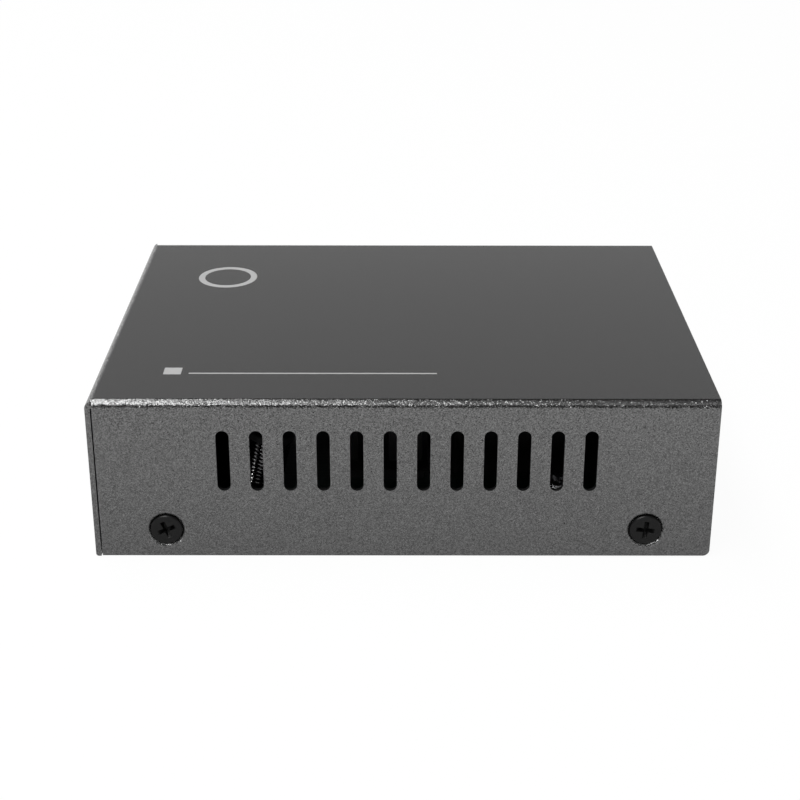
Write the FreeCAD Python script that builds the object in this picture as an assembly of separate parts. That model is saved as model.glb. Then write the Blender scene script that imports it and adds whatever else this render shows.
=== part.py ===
"""Fibre media converter that also feeds power over its copper port.

A folded steel case, 94 mm long, holds one circuit board. The cover is one sheet: roof, two
vented side walls and rear wall. The tray is the other: floor, front panel and four screw ears.
X runs from the rear wall (-X) to the front panel (+X), Y across the case, Z up.
The origin is the middle of the underside. All sizes are in millimetres.
"""
import FreeCAD
import Part

import math
import os

from FreeCAD import Rotation, Vector

# ---------------------------------------------------------------- case
case_length = 94.0       # rear wall to the cover's open front edge
case_width = 70.3        # over the two side walls
case_height = 26.2       # underside of the tray to the roof
sheet = 0.8              # steel of cover and tray
cover_bend = 1.2         # outside radius of the cover's bends
tray_bend = 1.0          # outside radius of the tray's bends
fit_gap = 0.1            # air between cover and tray
side_lift = 0.2          # the side walls end this far above the underside
rear_lift = 0.1          # the rear wall ends this far above the underside
corner_slit = 0.2        # slit between the rear wall and each side wall
side_corner = 1.0        # lower front corner of a side wall
rear_corner = 0.4        # rounded lower edge of the rear wall
panel_recess = 0.4       # the front panel stands this far inside the cover's edge
roof_lip = 4.0           # fold along the top of the front panel
rear_lip = 4.0           # height of the tray's fold along its rear edge

# ---------------------------------------------------------------- vents
vent_count = 12
vent_pitch = 5.0
vent_width = 2.0
vent_length = 10.0
vent_row_x = 0.6         # middle of the row
vent_z = 16.4            # middle of each slot

# ---------------------------------------------------------------- case screws
case_screw_rear_inset = 11.0
case_screw_front_inset = 10.0
case_screw_z = 4.7
case_screw_length = 5.0
thread_radius = 1.5      # M3
thread_gap = 0.05        # air round a thread, which is drawn smooth
head_radius = 2.4
head_proud = 0.1         # the flat of the head stands this far out of the wall
head_land = 0.4          # depth of the head's straight edge below the wall
head_edge = 0.15         # bevel round the top of the head
head_gap = 0.05          # air between head and dimple
dimple_round = 0.7       # soft edge of the dimple's mouth
dimple_lip = 0.5         # straight part of the hole under the dimple's cone
screw_turns = {(-1, 0): 24.0, (-1, 1): -6.0, (1, 0): 40.0, (1, 1): 12.0}
cross_width = 2.9
cross_blade = 0.72
cross_depth = 1.3
ear_width = 12.0
ear_height = 9.6
ear_corner = 2.0
ear_relief = 0.8         # notch beside each ear's bend
ear_root = 5.0           # length of floor that each ear is drawn with
ear_collar = 1.2         # depth of the drawn collar that takes the thread
collar_wall = 0.9

# ---------------------------------------------------------------- wall-mount keyholes
keyhole_spacing = 60.0
keyhole_radius = 3.5
keyhole_slot = 3.6       # width of the narrow part
keyhole_travel = 6.5     # from the round part's middle to the end of the slot's middle

# ---------------------------------------------------------------- circuit board
board_front_gap = 0.6    # to the front panel
board_rear_gap = 0.3     # to the tray's rear fold
board_side_gap = 0.45    # to the tips of the case screws
board_thickness = 1.6
board_corner = 1.0
standoff_height = 4.2
standoff_radius = 2.6
standoff_shank = 2.1     # clinched through the floor
standoff_rear_inset = 4.8
standoff_side_inset = 3.9
standoff_front_inset = 22.4
standoff_socket_gap = 3.4    # from the copper socket's back to the screw beside it
board_hole_radius = 1.7
board_screw_length = 4.0
board_screw_head_radius = 2.75
board_screw_head_height = 1.9
board_screw_bevel = 0.6
pin_radius = 0.25
pin_hole_gap = 0.2
pin_pitch = 2.54
pin_tail = 1.4           # length of a solder tail under the board

# ---------------------------------------------------------------- front connectors
port_proud = 0.2         # sockets stand this far out of the front panel
port_gap = 0.2           # air between a socket and its cut-out
fibre_lamp_gap = 0.6     # between the lamps' holder and the fibre module
fibre_width = 25.4
fibre_height = 9.8
fibre_length = 39.0
fibre_nose = 13.0        # length of the receptacle in front of the electronics
fibre_waist = 0.4        # the electronics are this much narrower each side
fibre_pitch = 12.7       # between the two optical axes
fibre_corner = 1.0
fibre_pin_count = 9
fibre_pin_inset = 4.0    # from the module's rear end
fibre_mouth_width = 9.2
fibre_mouth_height = 7.4
fibre_mouth_depth = 11.0
fibre_key_width = 2.4
fibre_key_depth = 0.7
fibre_latch_start = 4.8  # latches and sleeve begin this far inside the mouth
fibre_latch_height = 3.4
fibre_latch_thick = 0.9
fibre_latch_hook = 0.55
sleeve_radius = 2.3
sleeve_bore_radius = 1.25
sleeve_seat = 1.0        # length held in the housing
sleeve_gap = 0.05
sleeve_edge = 0.3

port_spacing = 2.9       # between the fibre module and the copper socket
copper_width = 16.0
copper_height = 13.4
copper_length = 21.3
copper_shield = 0.25
copper_gap = 0.05        # air between shield and insulator
copper_face_inset = 0.3  # the insulator lies this far inside the shield's mouth
tongue_root = 4.5        # the shield's spring tongues start this far inside
tongue_rise = 1.8
tongue_length = 3.2
tongue_width = 1.6
tongue_lifts = (3.5, 8.5)
tongue_offset = 4.0
copper_mouth_width = 11.9
copper_mouth_height = 7.2
copper_mouth_depth = 13.0
copper_mouth_lift = 2.9  # floor of the plug space above the board
copper_key_width = 6.3
copper_key_depth = 1.6
contact_count = 8
contact_pitch = 1.02
contact_width = 0.36
contact_thick = 0.3
contact_start = 2.4      # the wires turn back this far inside the mouth
contact_reach = 9.0      # length of the sloping part, along the socket
contact_drop = 2.8
groove_gap = 0.08

# ---------------------------------------------------------------- indicator lamps
lamp_names = ("power", "power_over_ethernet", "fibre_link", "copper_link")
lamp_pitch = 4.4
lamp_lifts = (2.7, 7.7)  # axes above the board
lamp_radius = 1.5
lamp_flange = 1.9
lamp_flange_length = 1.0
lamp_length = 5.3
lamp_leg_gap = 1.8       # between the two legs
lamp_leg_bends = (1.2, 2.6)  # lower and upper lamps' legs drop this far behind the flange
lamp_hole_gap = 0.1
lamp_tip_inset = 0.1     # the dome ends this far inside the cover's edge
holder_half_width = 2.12
holder_height = 10.3
holder_front_gap = 0.9   # behind the panel's outer face
holder_length = 7.2
holder_wall = 0.5
holder_edge_gap = 0.1    # to the board's side edge

# ---------------------------------------------------------------- power socket
power_side_inset = 12.8  # from the board's side edge
power_axis_lift = 6.5
power_width = 9.0
power_height = 11.0
power_length = 14.0
power_body_inset = 1.4   # block starts this far inside the rear wall's outer face
power_nose_radius = 4.0
power_nose_inset = 0.1
power_nose_gap = 0.2
power_bore_radius = 3.1
power_bore_depth = 10.0
power_pin_radius = 1.0
power_pin_inset = 1.6    # the pin's tip lies this far inside the nose
power_pin_seat = 1.4     # length held in the block
power_tails = ((7.5, 0.0), (12.5, 0.0), (10.0, -3.4))  # from the block's rear face and axis

# ---------------------------------------------------------------- option switches
switch_side_inset = 23.8  # from the board's side edge
switch_count = 4
switch_pitch = 2.54
switch_depth = 5.8
switch_height = 9.9
switch_margin = 1.6      # body beyond the outer sliders' pitch, both ends together
switch_lift = 4.9        # middle of the sliders' travel above the board
switch_travel = 2.0
switch_face_gap = 0.1    # between the body and the rear wall's inner face
slider_width = 1.4
slider_height = 1.8
slider_tip_inset = 0.2   # the tip lies this far inside the rear wall's outer face
slider_foot_width = 2.0
slider_foot_height = 2.6
slider_foot_depth = 0.9
slider_gap = 0.1
switch_skin = 1.0        # face that the feet are held behind
window_margin = 0.5
window_corner = 0.6

# ---------------------------------------------------------------- parts on the board
coil_from_vents = 23.4   # from the middle of the vents, towards the rear
coil_side_inset = 4.1    # from the board's side edge
coil_lean = 12.0         # degrees off upright, towards the front
coil_radius = 4.0
coil_height = 10.3
coil_flange = 1.2
coil_edge = 0.2
coil_post_radius = 1.8
coil_lead_pitch = 5.0
wire_radius = 0.32
coil_gap = 0.05

transformer_gap = 3.0    # from the option switches
transformer_side_gap = 2.0   # from the power socket
transformer_length = 13.0
transformer_width = 12.0
transformer_height = 11.5
core_width = 7.2
core_leg = 2.6
core_lift = 1.0
bobbin_gap = 0.15

input_can_gap = 1.1      # from the power socket
input_can_offset = 2.0   # from the power socket's axis
input_can_radius = 5.0
input_can_height = 16.0
output_can_gap = 3.0     # from the input capacitor
output_can_offset = 5.0
output_can_radius = 4.0
output_can_height = 12.0
can_groove = 0.35
can_groove_lift = 1.6
can_edge = 0.5
score_width = 0.3
score_depth = 0.2

chip_side = 12.0
chip_height = 1.4
chip_offset = -8.2       # from the fibre module's middle
chip_draft = 0.15
chip_dot_radius = 0.5
chip_dot_inset = 1.4
chip_dot_depth = 0.1
pad_height = 0.5
sink_gap = 3.9           # from the fibre module's rear end
sink_side = 13.0
sink_height = 6.5
sink_base = 1.5
fin_count = 7
fin_thick = 0.8
power_chip_gap = 2.5     # from the transformer
power_chip_side = 7.0
power_chip_height = 1.0
rectifier_gap = 5.7      # from the input capacitor
rectifier_offset = -4.5  # from the power socket's axis
rectifier_length = 6.6
rectifier_width = 6.1
rectifier_height = 2.3
magnetics_gap = 7.0      # from the copper socket's back
magnetics_length = 12.8
magnetics_width = 15.5
magnetics_height = 6.0
crystal_gap = 1.3        # from the fibre module's rear end
crystal_offset = 10.8    # from the fibre module's middle
crystal_length = 11.0
crystal_width = 4.7
crystal_height = 3.4

# ---------------------------------------------------------------- planes that pieces share
rear_x = -case_length / 2
front_x = case_length / 2
side_y = case_width / 2
rear_in_x = rear_x + sheet
wall_in_y = side_y - sheet
roof_in_z = case_height - sheet
panel_x = front_x - panel_recess
panel_in_x = panel_x - sheet
tray_half_y = wall_in_y - fit_gap
tray_rear_x = rear_in_x + fit_gap
tray_top_z = roof_in_z - fit_gap
case_screw_xs = (rear_x + case_screw_rear_inset, front_x - case_screw_front_inset)
board_rear_x = tray_rear_x + sheet + board_rear_gap
board_front_x = panel_in_x - board_front_gap
board_half_y = side_y + head_proud - case_screw_length - board_side_gap
board_z = sheet + standoff_height
board_top_z = board_z + board_thickness
port_x = panel_x + port_proud
screw_hole_radius = thread_radius + 3 * thread_gap
cone_mouth = head_radius + head_gap + head_land
cone_depth = cone_mouth - screw_hole_radius
dimple_depth = cone_depth + dimple_lip
ear_y = side_y - dimple_depth - head_gap
holder_x = panel_x - holder_front_gap
lamp_tip_x = front_x - lamp_tip_inset
lamp_base_x = lamp_tip_x - lamp_length
lamp_first_y = holder_edge_gap + holder_half_width - board_half_y
lamp_ys = (lamp_first_y, lamp_first_y + lamp_pitch)
fibre_y = lamp_ys[1] + holder_half_width + fibre_lamp_gap + fibre_width / 2
fibre_ys = (fibre_y - fibre_pitch / 2, fibre_y + fibre_pitch / 2)
fibre_axis_z = board_top_z + fibre_height / 2
fibre_rear_x = port_x - fibre_length
copper_y = fibre_y + fibre_width / 2 + port_spacing + copper_width / 2
copper_rear_x = port_x - copper_length
power_y = board_half_y - power_side_inset
power_axis_z = board_top_z + power_axis_lift
power_rear_x = rear_x + power_body_inset
power_front_x = power_rear_x + power_length
switch_y = switch_side_inset - board_half_y
switch_axis_z = board_top_z + switch_lift
switch_face_x = rear_in_x + switch_face_gap
switch_front_x = switch_face_x + switch_depth
coil_x = vent_row_x - coil_from_vents
coil_y = coil_side_inset - board_half_y
transformer_x = switch_front_x + transformer_gap + transformer_length / 2
transformer_y = power_y - power_width / 2 - transformer_side_gap - transformer_width / 2
input_can_x = power_front_x + input_can_gap + input_can_radius
input_can_front = input_can_x + input_can_radius
output_can_x = input_can_front + output_can_gap + output_can_radius
rectifier_x = input_can_front + rectifier_gap + rectifier_length / 2
power_chip_x = transformer_x + (transformer_length + power_chip_side) / 2 + power_chip_gap
chip_x = fibre_rear_x - sink_gap - sink_side / 2
chip_y = fibre_y + chip_offset
crystal_x = fibre_rear_x - crystal_gap - crystal_length / 2
magnetics_x = copper_rear_x - magnetics_gap - magnetics_length / 2

UP = Vector(0, 0, 1)


# ---------------------------------------------------------------- shape helpers
def block(x, y, z):
    """Box from three (low, high) pairs."""
    size = [high - low for low, high in (x, y, z)]
    return Part.makeBox(*size, Vector(x[0], y[0], z[0]))


def around(middle, size):
    """(low, high) pair of a length centred on middle."""
    return (middle - size / 2, middle + size / 2)


def rod(radius, start, direction, length):
    return Part.makeCylinder(radius, length, Vector(*start), Vector(*direction))


def corner_arc(before, corner, after, radius):
    """Where an arc of that radius enters and leaves a corner, and its middle point."""
    back = (before - corner).normalize()
    on = (after - corner).normalize()
    half = back.getAngle(on) / 2
    reach = radius / math.tan(half)
    inward = (back + on).normalize()
    middle = corner + inward * (radius / math.sin(half) - radius)
    return corner + back * reach, middle, corner + on * reach


def outline(corners, place):
    """Face inside a closed line through (u, v) or (u, v, corner radius) points."""
    flat = [Vector(c[0], c[1], 0) for c in corners]
    stops = []
    for i, corner in enumerate(corners):
        radius = corner[2] if len(corner) > 2 else 0
        if radius > 0:
            after = flat[(i + 1) % len(flat)]
            stops.append(corner_arc(flat[i - 1], flat[i], after, radius))
        else:
            stops.append((flat[i], None, flat[i]))
    edges = []
    for i, (enter, middle, leave) in enumerate(stops):
        if middle:
            edges.append(Part.Arc(place(enter), place(middle), place(leave)).toShape())
        onward = stops[(i + 1) % len(stops)][0]
        if (onward - leave).Length > 1e-6:
            edges.append(Part.LineSegment(place(leave), place(onward)).toShape())
    return Part.Face(Part.Wire(edges))


def prism_x(corners, x):
    """Outline in (y, z), drawn out along X."""
    face = outline(corners, lambda p: Vector(x[0], p.x, p.y))
    return face.extrude(Vector(x[1] - x[0], 0, 0))


def prism_y(corners, y):
    """Outline in (x, z), drawn out along Y."""
    face = outline(corners, lambda p: Vector(p.x, y[0], p.y))
    return face.extrude(Vector(0, y[1] - y[0], 0))


def prism_z(corners, z):
    """Outline in (x, y), drawn out along Z."""
    face = outline(corners, lambda p: Vector(p.x, p.y, z[0]))
    return face.extrude(Vector(0, 0, z[1] - z[0]))


def rectangle(u, v, radius=0.0):
    """Corners of a rectangle from two (low, high) pairs."""
    return [(u[0], v[0], radius), (u[1], v[0], radius), (u[1], v[1], radius), (u[0], v[1], radius)]


def turned(corners):
    """Outline in (radius, height), turned about Z."""
    face = outline(corners, lambda p: Vector(p.x, 0, p.y))
    return face.revolve(Vector(0, 0, 0), UP, 360)


def facing(shape, at, direction, roll=0.0):
    """Copy of a shape made about Z, rolled, then turned to a direction and moved to a point."""
    turn = Rotation(UP, Vector(*direction)).multiply(Rotation(UP, roll))
    moved = shape.copy()
    moved.Placement = FreeCAD.Placement(Vector(*at), turn)
    return moved


def joined(shapes):
    """One solid from shapes that touch or overlap."""
    return shapes[0].multiFuse(shapes[1:]).removeSplitter()


def group(shapes):
    """Several separate solids that make one node."""
    return Part.makeCompound(shapes)


# ---------------------------------------------------------------- cover
def case_screw_places():
    """Point on the outer face, outward direction and index of each case screw."""
    for side in (-1, 1):
        for index, x in enumerate(case_screw_xs):
            yield (x, side * side_y, case_screw_z), (0, side, 0), (side, index)


def cover_skin(inset, bend, reach):
    """Outer or inner boundary of the folded cover: two profiles crossed.

    The rear wall keeps square ends, which cover the rear edges of the side walls.
    """
    rear = rear_x + inset
    low = -1.0 if inset else rear_lift
    step = low if inset else side_lift
    top = case_height - inset
    side_profile = [
        (rear, low, 0 if inset else rear_corner),
        (rear_in_x, low),
        (rear_in_x, step),
        (front_x + reach, step, 0 if inset else side_corner),
        (front_x + reach, top),
        (rear, top, bend),
    ]
    if inset:
        side_profile = side_profile[:1] + side_profile[3:]
    half = side_y - inset
    end_profile = [(-half, low), (half, low), (half, top, bend), (-half, top, bend)]
    along = prism_y(side_profile, (-half, half))
    across = prism_x(end_profile, (rear, front_x + reach))
    if not inset:
        across = across.fuse(block((rear_x, rear_in_x), (-half, half), (low, top)))
    return along.common(across)


def vents():
    first = vent_row_x - vent_pitch * (vent_count - 1) / 2
    for i in range(vent_count):
        x = around(first + i * vent_pitch, vent_width)
        z = around(vent_z, vent_length)
        slot = prism_y(rectangle(x, z, vent_width / 2), (-side_y - 1, side_y + 1))
        yield slot


def dimple_back():
    """Steel pushed inwards behind each case screw, about Z with the wall's outer face at 0."""
    thick = sheet * math.sqrt(2)
    start = sheet / 2
    return turned([
        (0, -dimple_depth),
        (cone_mouth - dimple_depth + thick, -dimple_depth),
        (cone_mouth - start + thick, -start),
        (0, -start),
    ])


def dimple_space():
    """What the countersunk screw and its soft-edged mouth take out of the wall."""
    return turned([
        (0, -dimple_depth - 1),
        (screw_hole_radius, -dimple_depth - 1),
        (screw_hole_radius, -cone_depth),
        (cone_mouth, 0, dimple_round),
        (cone_mouth + 2 * dimple_round, 0),
        (cone_mouth + 2 * dimple_round, 1),
        (0, 1),
    ])


def power_opening():
    start = (rear_x - 1, power_y, power_axis_z)
    return rod(power_nose_radius + power_nose_gap, start, (1, 0, 0), sheet + 2)


def switch_window():
    width = (switch_count - 1) * switch_pitch + slider_width + 2 * window_margin
    height = slider_height + switch_travel + 2 * window_margin
    corners = rectangle(around(switch_y, width), around(switch_axis_z, height), window_corner)
    return prism_x(corners, (rear_x - 1, rear_in_x + 0.5))


def top_cover():
    shell = cover_skin(0, cover_bend, 0).cut(cover_skin(sheet, cover_bend - sheet, 1))
    backs = [facing(dimple_back(), at, out) for at, out, _ in case_screw_places()]
    shell = joined([shell] + backs)
    slit_top = case_height - cover_bend
    cuts = [facing(dimple_space(), at, out) for at, out, _ in case_screw_places()]
    for side in (-1, 1):
        y = sorted((side * (side_y + 1), side * (wall_in_y - 0.01)))
        cuts.append(block((rear_in_x, rear_in_x + corner_slit), y, (-1, slit_top)))
    cuts += list(vents())
    cuts += [power_opening(), switch_window()]
    return shell.cut(cuts)


# ---------------------------------------------------------------- screws
def cross_recess():
    """Cross socket under a head's flat face at height 0: two tapered blades and a point."""
    wide = cross_width / 2
    foot = 0.42 * wide
    blade = prism_y(
        [(-wide, 0.2), (wide, 0.2), (wide, 0), (foot, -cross_depth), (-foot, -cross_depth), (-wide, 0)],
        around(0, cross_blade),
    )
    point = Part.makeCone(foot, 0.3 * foot, 0.6 * cross_depth)
    point.translate(Vector(0, 0, -cross_depth))
    other = facing(blade, (0, 0, 0), (0, 0, 1), 90)
    return joined([blade, other, point])


def case_screw():
    """Flat-head screw about Z, with the case wall's outer face at height 0."""
    tip = head_proud - case_screw_length
    neck = -(head_land + head_radius - thread_radius)
    body = turned([
        (0, tip),
        (thread_radius - 0.4, tip),
        (thread_radius, tip + 0.4),
        (thread_radius, neck),
        (head_radius, -head_land),
        (head_radius, head_proud - head_edge),
        (head_radius - head_edge, head_proud),
        (0, head_proud),
    ])
    socket = cross_recess()
    socket.translate(Vector(0, 0, head_proud))
    return body.cut(socket)


def case_screws():
    screws = []
    for at, out, key in case_screw_places():
        screws.append(facing(case_screw(), at, out, screw_turns[key]))
    return group(screws)


def board_screw():
    """Pan-head screw about Z, with the underside of its head at height 0."""
    top = board_screw_head_height
    flat = board_screw_head_radius - board_screw_bevel
    body = turned([
        (0, -board_screw_length),
        (thread_radius, -board_screw_length),
        (thread_radius, 0),
        (board_screw_head_radius, 0),
        (board_screw_head_radius, top - board_screw_bevel),
        (flat, top),
        (0, top),
    ])
    socket = cross_recess()
    socket.translate(Vector(0, 0, top))
    return body.cut(socket)


def board_screws():
    turns = (10, 55, 30, 75)
    screws = []
    for (x, y), turn in zip(standoff_points(), turns):
        screws.append(facing(board_screw(), (x, y, board_top_z), (0, 0, 1), turn))
    return group(screws)


# ---------------------------------------------------------------- tray
def screw_ear(x, side):
    """Ear bent up from the floor, with a drawn collar that a case screw bites in."""
    root = ear_y - ear_root
    inner_bend = max(tray_bend - sheet, 0.05)
    profile = [
        (side * root, 0),
        (side * ear_y, 0, tray_bend),
        (side * ear_y, ear_height),
        (side * (ear_y - sheet), ear_height),
        (side * (ear_y - sheet), sheet, inner_bend),
        (side * root, sheet),
    ]
    ear = prism_x(profile, around(x, ear_width))
    trim = prism_y(
        [
            (x - ear_width / 2, -1),
            (x + ear_width / 2, -1),
            (x + ear_width / 2, ear_height, ear_corner),
            (x - ear_width / 2, ear_height, ear_corner),
        ],
        (-side_y, side_y),
    )
    collar_start = (x, side * (ear_y - sheet / 2), case_screw_z)
    inward = (0, -side, 0)
    collar_radius = thread_radius + collar_wall
    collar = rod(collar_radius, collar_start, inward, sheet / 2 + ear_collar)
    return joined([ear.common(trim), collar])


def ear_notch(x, side):
    """Floor cut away outside and beside an ear's bend."""
    y = sorted((side * (ear_y - tray_bend), side * side_y))
    return block(around(x, ear_width + 2 * ear_relief), y, (-1, sheet + 1))


def screw_bore(x, side):
    start = (x, side * side_y, case_screw_z)
    return rod(thread_radius + thread_gap, start, (0, -side, 0), case_screw_length + dimple_depth)


def keyhole(x):
    round_part = rod(keyhole_radius, (x, 0, -1), (0, 0, 1), sheet + 2)
    half = keyhole_slot / 2
    end = x - keyhole_travel - half
    corners = [(x, -half), (x, half), (end, half, half), (end, -half, half)]
    return round_part.fuse(prism_z(corners, (-1, sheet + 1)))


def keyhole_xs():
    return (-keyhole_spacing / 2, keyhole_spacing / 2)


def panel_cutouts():
    """Openings of the front panel for the two sockets and the lamps."""
    depth = (panel_in_x - 2, panel_x + 2)
    shapes = []
    for middle, width, height in (
        (fibre_y, fibre_width, fibre_height),
        (copper_y, copper_width, copper_height),
    ):
        y = around(middle, width + 2 * port_gap)
        z = (board_top_z - port_gap, board_top_z + height + port_gap)
        shapes.append(prism_x(rectangle(y, z, 0.4), depth))
    for y, z in lamp_axes():
        hole = rod(lamp_radius + lamp_hole_gap, (depth[0], y, z), (1, 0, 0), sheet + 4)
        shapes.append(hole)
    return shapes


def base_tray():
    low_x, high_x = tray_rear_x, panel_x
    width = (-tray_half_y, tray_half_y)
    inner_bend = max(tray_bend - sheet, 0.05)
    outer = [(low_x, 0, tray_bend), (high_x, 0, tray_bend), (high_x, tray_top_z, tray_bend),
             (low_x, tray_top_z)]
    inner = [(low_x + sheet, sheet, inner_bend), (high_x - sheet, sheet, inner_bend),
             (high_x - sheet, tray_top_z - sheet, inner_bend),
             (low_x + sheet, tray_top_z - sheet)]
    strip = prism_y(outer, width).cut(prism_y(inner, (width[0] - 1, width[1] + 1)))
    end = [(width[0], -1), (width[1], -1), (width[1], tray_top_z, cover_bend),
           (width[0], tray_top_z, cover_bend)]
    strip = strip.common(prism_x(end, (low_x, high_x)))
    lip_x = high_x - sheet - roof_lip
    strip = strip.cut([
        block((low_x - 1, lip_x), (-side_y, side_y), (tray_top_z - 2 * sheet, case_height)),
        block((low_x - 1, low_x + 2 * sheet), (-side_y, side_y), (sheet + rear_lip, case_height)),
    ])
    places = [(x, side) for side in (-1, 1) for x in case_screw_xs]
    strip = strip.cut([ear_notch(x, side) for x, side in places])
    strip = joined([strip] + [screw_ear(x, side) for x, side in places])
    cuts = [screw_bore(x, side) for x, side in places]
    cuts += [keyhole(x) for x in keyhole_xs()]
    cuts += [rod(standoff_shank, (x, y, -1), (0, 0, 1), sheet + 2) for x, y in standoff_points()]
    cuts += panel_cutouts()
    return strip.cut(cuts)


def standoff_points():
    """Two standoffs near the rear corners, two where the front sockets leave room."""
    rear = board_rear_x + standoff_rear_inset
    side = board_half_y - standoff_side_inset
    return (
        (rear, -side),
        (rear, side),
        (panel_x - standoff_front_inset, -side),
        (copper_rear_x - standoff_socket_gap, side),
    )


def standoff():
    """Clinched round standoff about Z, with the tray's underside at height 0."""
    bore = thread_radius + thread_gap
    top = board_z
    return turned([
        (bore, 0),
        (standoff_shank - thread_gap, 0),
        (standoff_shank - thread_gap, sheet),
        (standoff_radius, sheet),
        (standoff_radius, top),
        (bore, top),
    ])


def board_standoffs():
    return group([facing(standoff(), (x, y, 0), (0, 0, 1)) for x, y in standoff_points()])


# ---------------------------------------------------------------- circuit board
def grid(x, y, columns, rows, pitch_x, pitch_y):
    """Points of a grid of solder pins centred on x, y."""
    for i in range(columns):
        for j in range(rows):
            dx = (i - (columns - 1) / 2) * pitch_x
            dy = (j - (rows - 1) / 2) * pitch_y
            yield x + dx, y + dy


def fibre_pin_points():
    return list(grid(fibre_rear_x + fibre_pin_inset, fibre_y, 1, fibre_pin_count, 0, pin_pitch))


def copper_pin_points():
    x = contact_rear_x() + contact_thick / 2
    return [(x, y) for y in contact_ys()]


def power_pin_points():
    return [(power_rear_x + along, power_y + across) for along, across in power_tails]


def switch_pin_points():
    x = switch_face_x + switch_depth / 2
    return list(grid(x, switch_y, 2, switch_count, pin_pitch, switch_pitch))


def lamp_leg_xs():
    """Legs of the lower lamp drop in front of those of the upper one."""
    return [lamp_base_x - bend for bend in lamp_leg_bends]


def lamp_pin_points():
    half = lamp_leg_gap / 2
    return [(x, y + s * half) for y in lamp_ys for x in lamp_leg_xs() for s in (-1, 1)]


def circuit_board():
    corners = rectangle((board_rear_x, board_front_x), (-board_half_y, board_half_y), board_corner)
    board = prism_z(corners, (board_z, board_top_z))
    drilled = [(p, board_hole_radius) for p in standoff_points()]
    pins = fibre_pin_points() + copper_pin_points() + power_pin_points()
    pins += switch_pin_points() + lamp_pin_points() + inductor_lead_points()
    drilled += [(p, pin_radius + pin_hole_gap) for p in pins]
    cuts = [rod(r, (p[0], p[1], board_z - 1), (0, 0, 1), board_thickness + 2) for p, r in drilled]
    return board.cut(cuts)


def solder_pins(points):
    """Round pins through the board, standing on its top face."""
    length = board_thickness + pin_tail
    return [rod(pin_radius, (x, y, board_z - pin_tail), (0, 0, 1), length) for x, y in points]


# ---------------------------------------------------------------- fibre module
def fibre_mouth(y):
    """Plug space of one optical port, with the key slot in its roof."""
    start = port_x - fibre_mouth_depth
    span = (start, port_x + 1)
    z = around(fibre_axis_z, fibre_mouth_height)
    mouth = block(span, around(y, fibre_mouth_width), z)
    key = block(span, around(y, fibre_key_width), (z[1] - 0.1, z[1] + fibre_key_depth))
    return mouth.fuse(key)


def fibre_latches(y):
    """Two hooked arms that grip the plug, one each side of the sleeve."""
    back = port_x - fibre_mouth_depth - 0.5
    tip = port_x - fibre_latch_start
    wall = fibre_mouth_width / 2
    arms = []
    for side in (-1, 1):
        outer = y + side * (wall + 0.2)
        inner = y + side * (wall - fibre_latch_thick)
        hook = y + side * (wall - fibre_latch_thick - fibre_latch_hook)
        corners = [(back, outer), (back, inner), (tip - 3 * fibre_latch_hook, inner),
                   (tip - 2 * fibre_latch_hook, hook), (tip - fibre_latch_hook, hook),
                   (tip, inner), (tip, outer)]
        arms.append(prism_z(corners, around(fibre_axis_z, fibre_latch_height)))
    return arms


def fibre_module_housing():
    z = (board_top_z, board_top_z + fibre_height)
    split = port_x - fibre_nose
    y = around(fibre_y, fibre_width)
    waist = around(fibre_y, fibre_width - 2 * fibre_waist)
    nose = prism_x(rectangle(y, z, 0.5), (split, port_x))
    body = prism_z(rectangle((fibre_rear_x, split + fibre_corner), waist, fibre_corner),
                   (z[0], z[1] - fibre_waist))
    housing = joined([nose, body])
    housing = housing.cut([fibre_mouth(p) for p in fibre_ys])
    arms = [arm for p in fibre_ys for arm in fibre_latches(p)]
    housing = joined([housing] + arms)
    seat_start = port_x - fibre_mouth_depth - sleeve_seat
    seats = [rod(sleeve_radius + sleeve_gap, (seat_start, p, fibre_axis_z), (1, 0, 0), 2 * sleeve_seat)
             for p in fibre_ys]
    return housing.cut(seats)


def fibre_sleeve(y):
    """Ceramic sleeve that lines the plug's tip up with the optics."""
    start = port_x - fibre_mouth_depth - sleeve_seat
    length = port_x - fibre_latch_start - start
    tube = turned([
        (sleeve_bore_radius, 0),
        (sleeve_radius, 0),
        (sleeve_radius, length - sleeve_edge),
        (sleeve_radius - sleeve_edge, length),
        (sleeve_bore_radius + sleeve_edge, length),
        (sleeve_bore_radius, length - sleeve_edge),
    ])
    return facing(tube, (start, y, fibre_axis_z), (1, 0, 0))


# ---------------------------------------------------------------- copper socket
def contact_ys():
    return [copper_y + (i - (contact_count - 1) / 2) * contact_pitch for i in range(contact_count)]


def contact_rear_x():
    """Rear face of the contacts' upright legs, behind the insulator."""
    return insulator_rear_x() - contact_thick - groove_gap


def insulator_rear_x():
    return copper_rear_x + copper_shield + 2 * contact_thick + 6 * groove_gap


def plug_roof_z():
    return board_top_z + copper_mouth_lift + copper_mouth_height


def rj45_shield():
    """Folded can: roof, two sides and back, with spring tongues that touch the panel."""
    x = (copper_rear_x, port_x)
    y = around(copper_y, copper_width)
    z = (board_top_z, board_top_z + copper_height)
    can = block(x, y, z).cut(block(
        (x[0] + copper_shield, x[1] + 1),
        (y[0] + copper_shield, y[1] - copper_shield),
        (z[0] - 1, z[1] - copper_shield),
    ))
    bulge = port_gap * 0.75
    root = port_x - tongue_root
    tip = root + tongue_length
    tongues = []
    for side in (-1, 1):
        face = copper_y + side * copper_width / 2
        inner = face - side * copper_shield
        corners = [(root, inner), (root, face), (root + tongue_rise, face + side * bulge),
                   (tip, face), (tip, inner)]
        for lift in tongue_lifts:
            tongues.append(prism_z(corners, around(board_top_z + lift, tongue_width)))
        corners = [(root, z[1] - copper_shield), (root, z[1]), (root + tongue_rise, z[1] + bulge),
                   (tip, z[1]), (tip, z[1] - copper_shield)]
        tongues.append(prism_y(corners, around(copper_y + side * tongue_offset, tongue_width)))
    return joined([can] + tongues)


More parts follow.
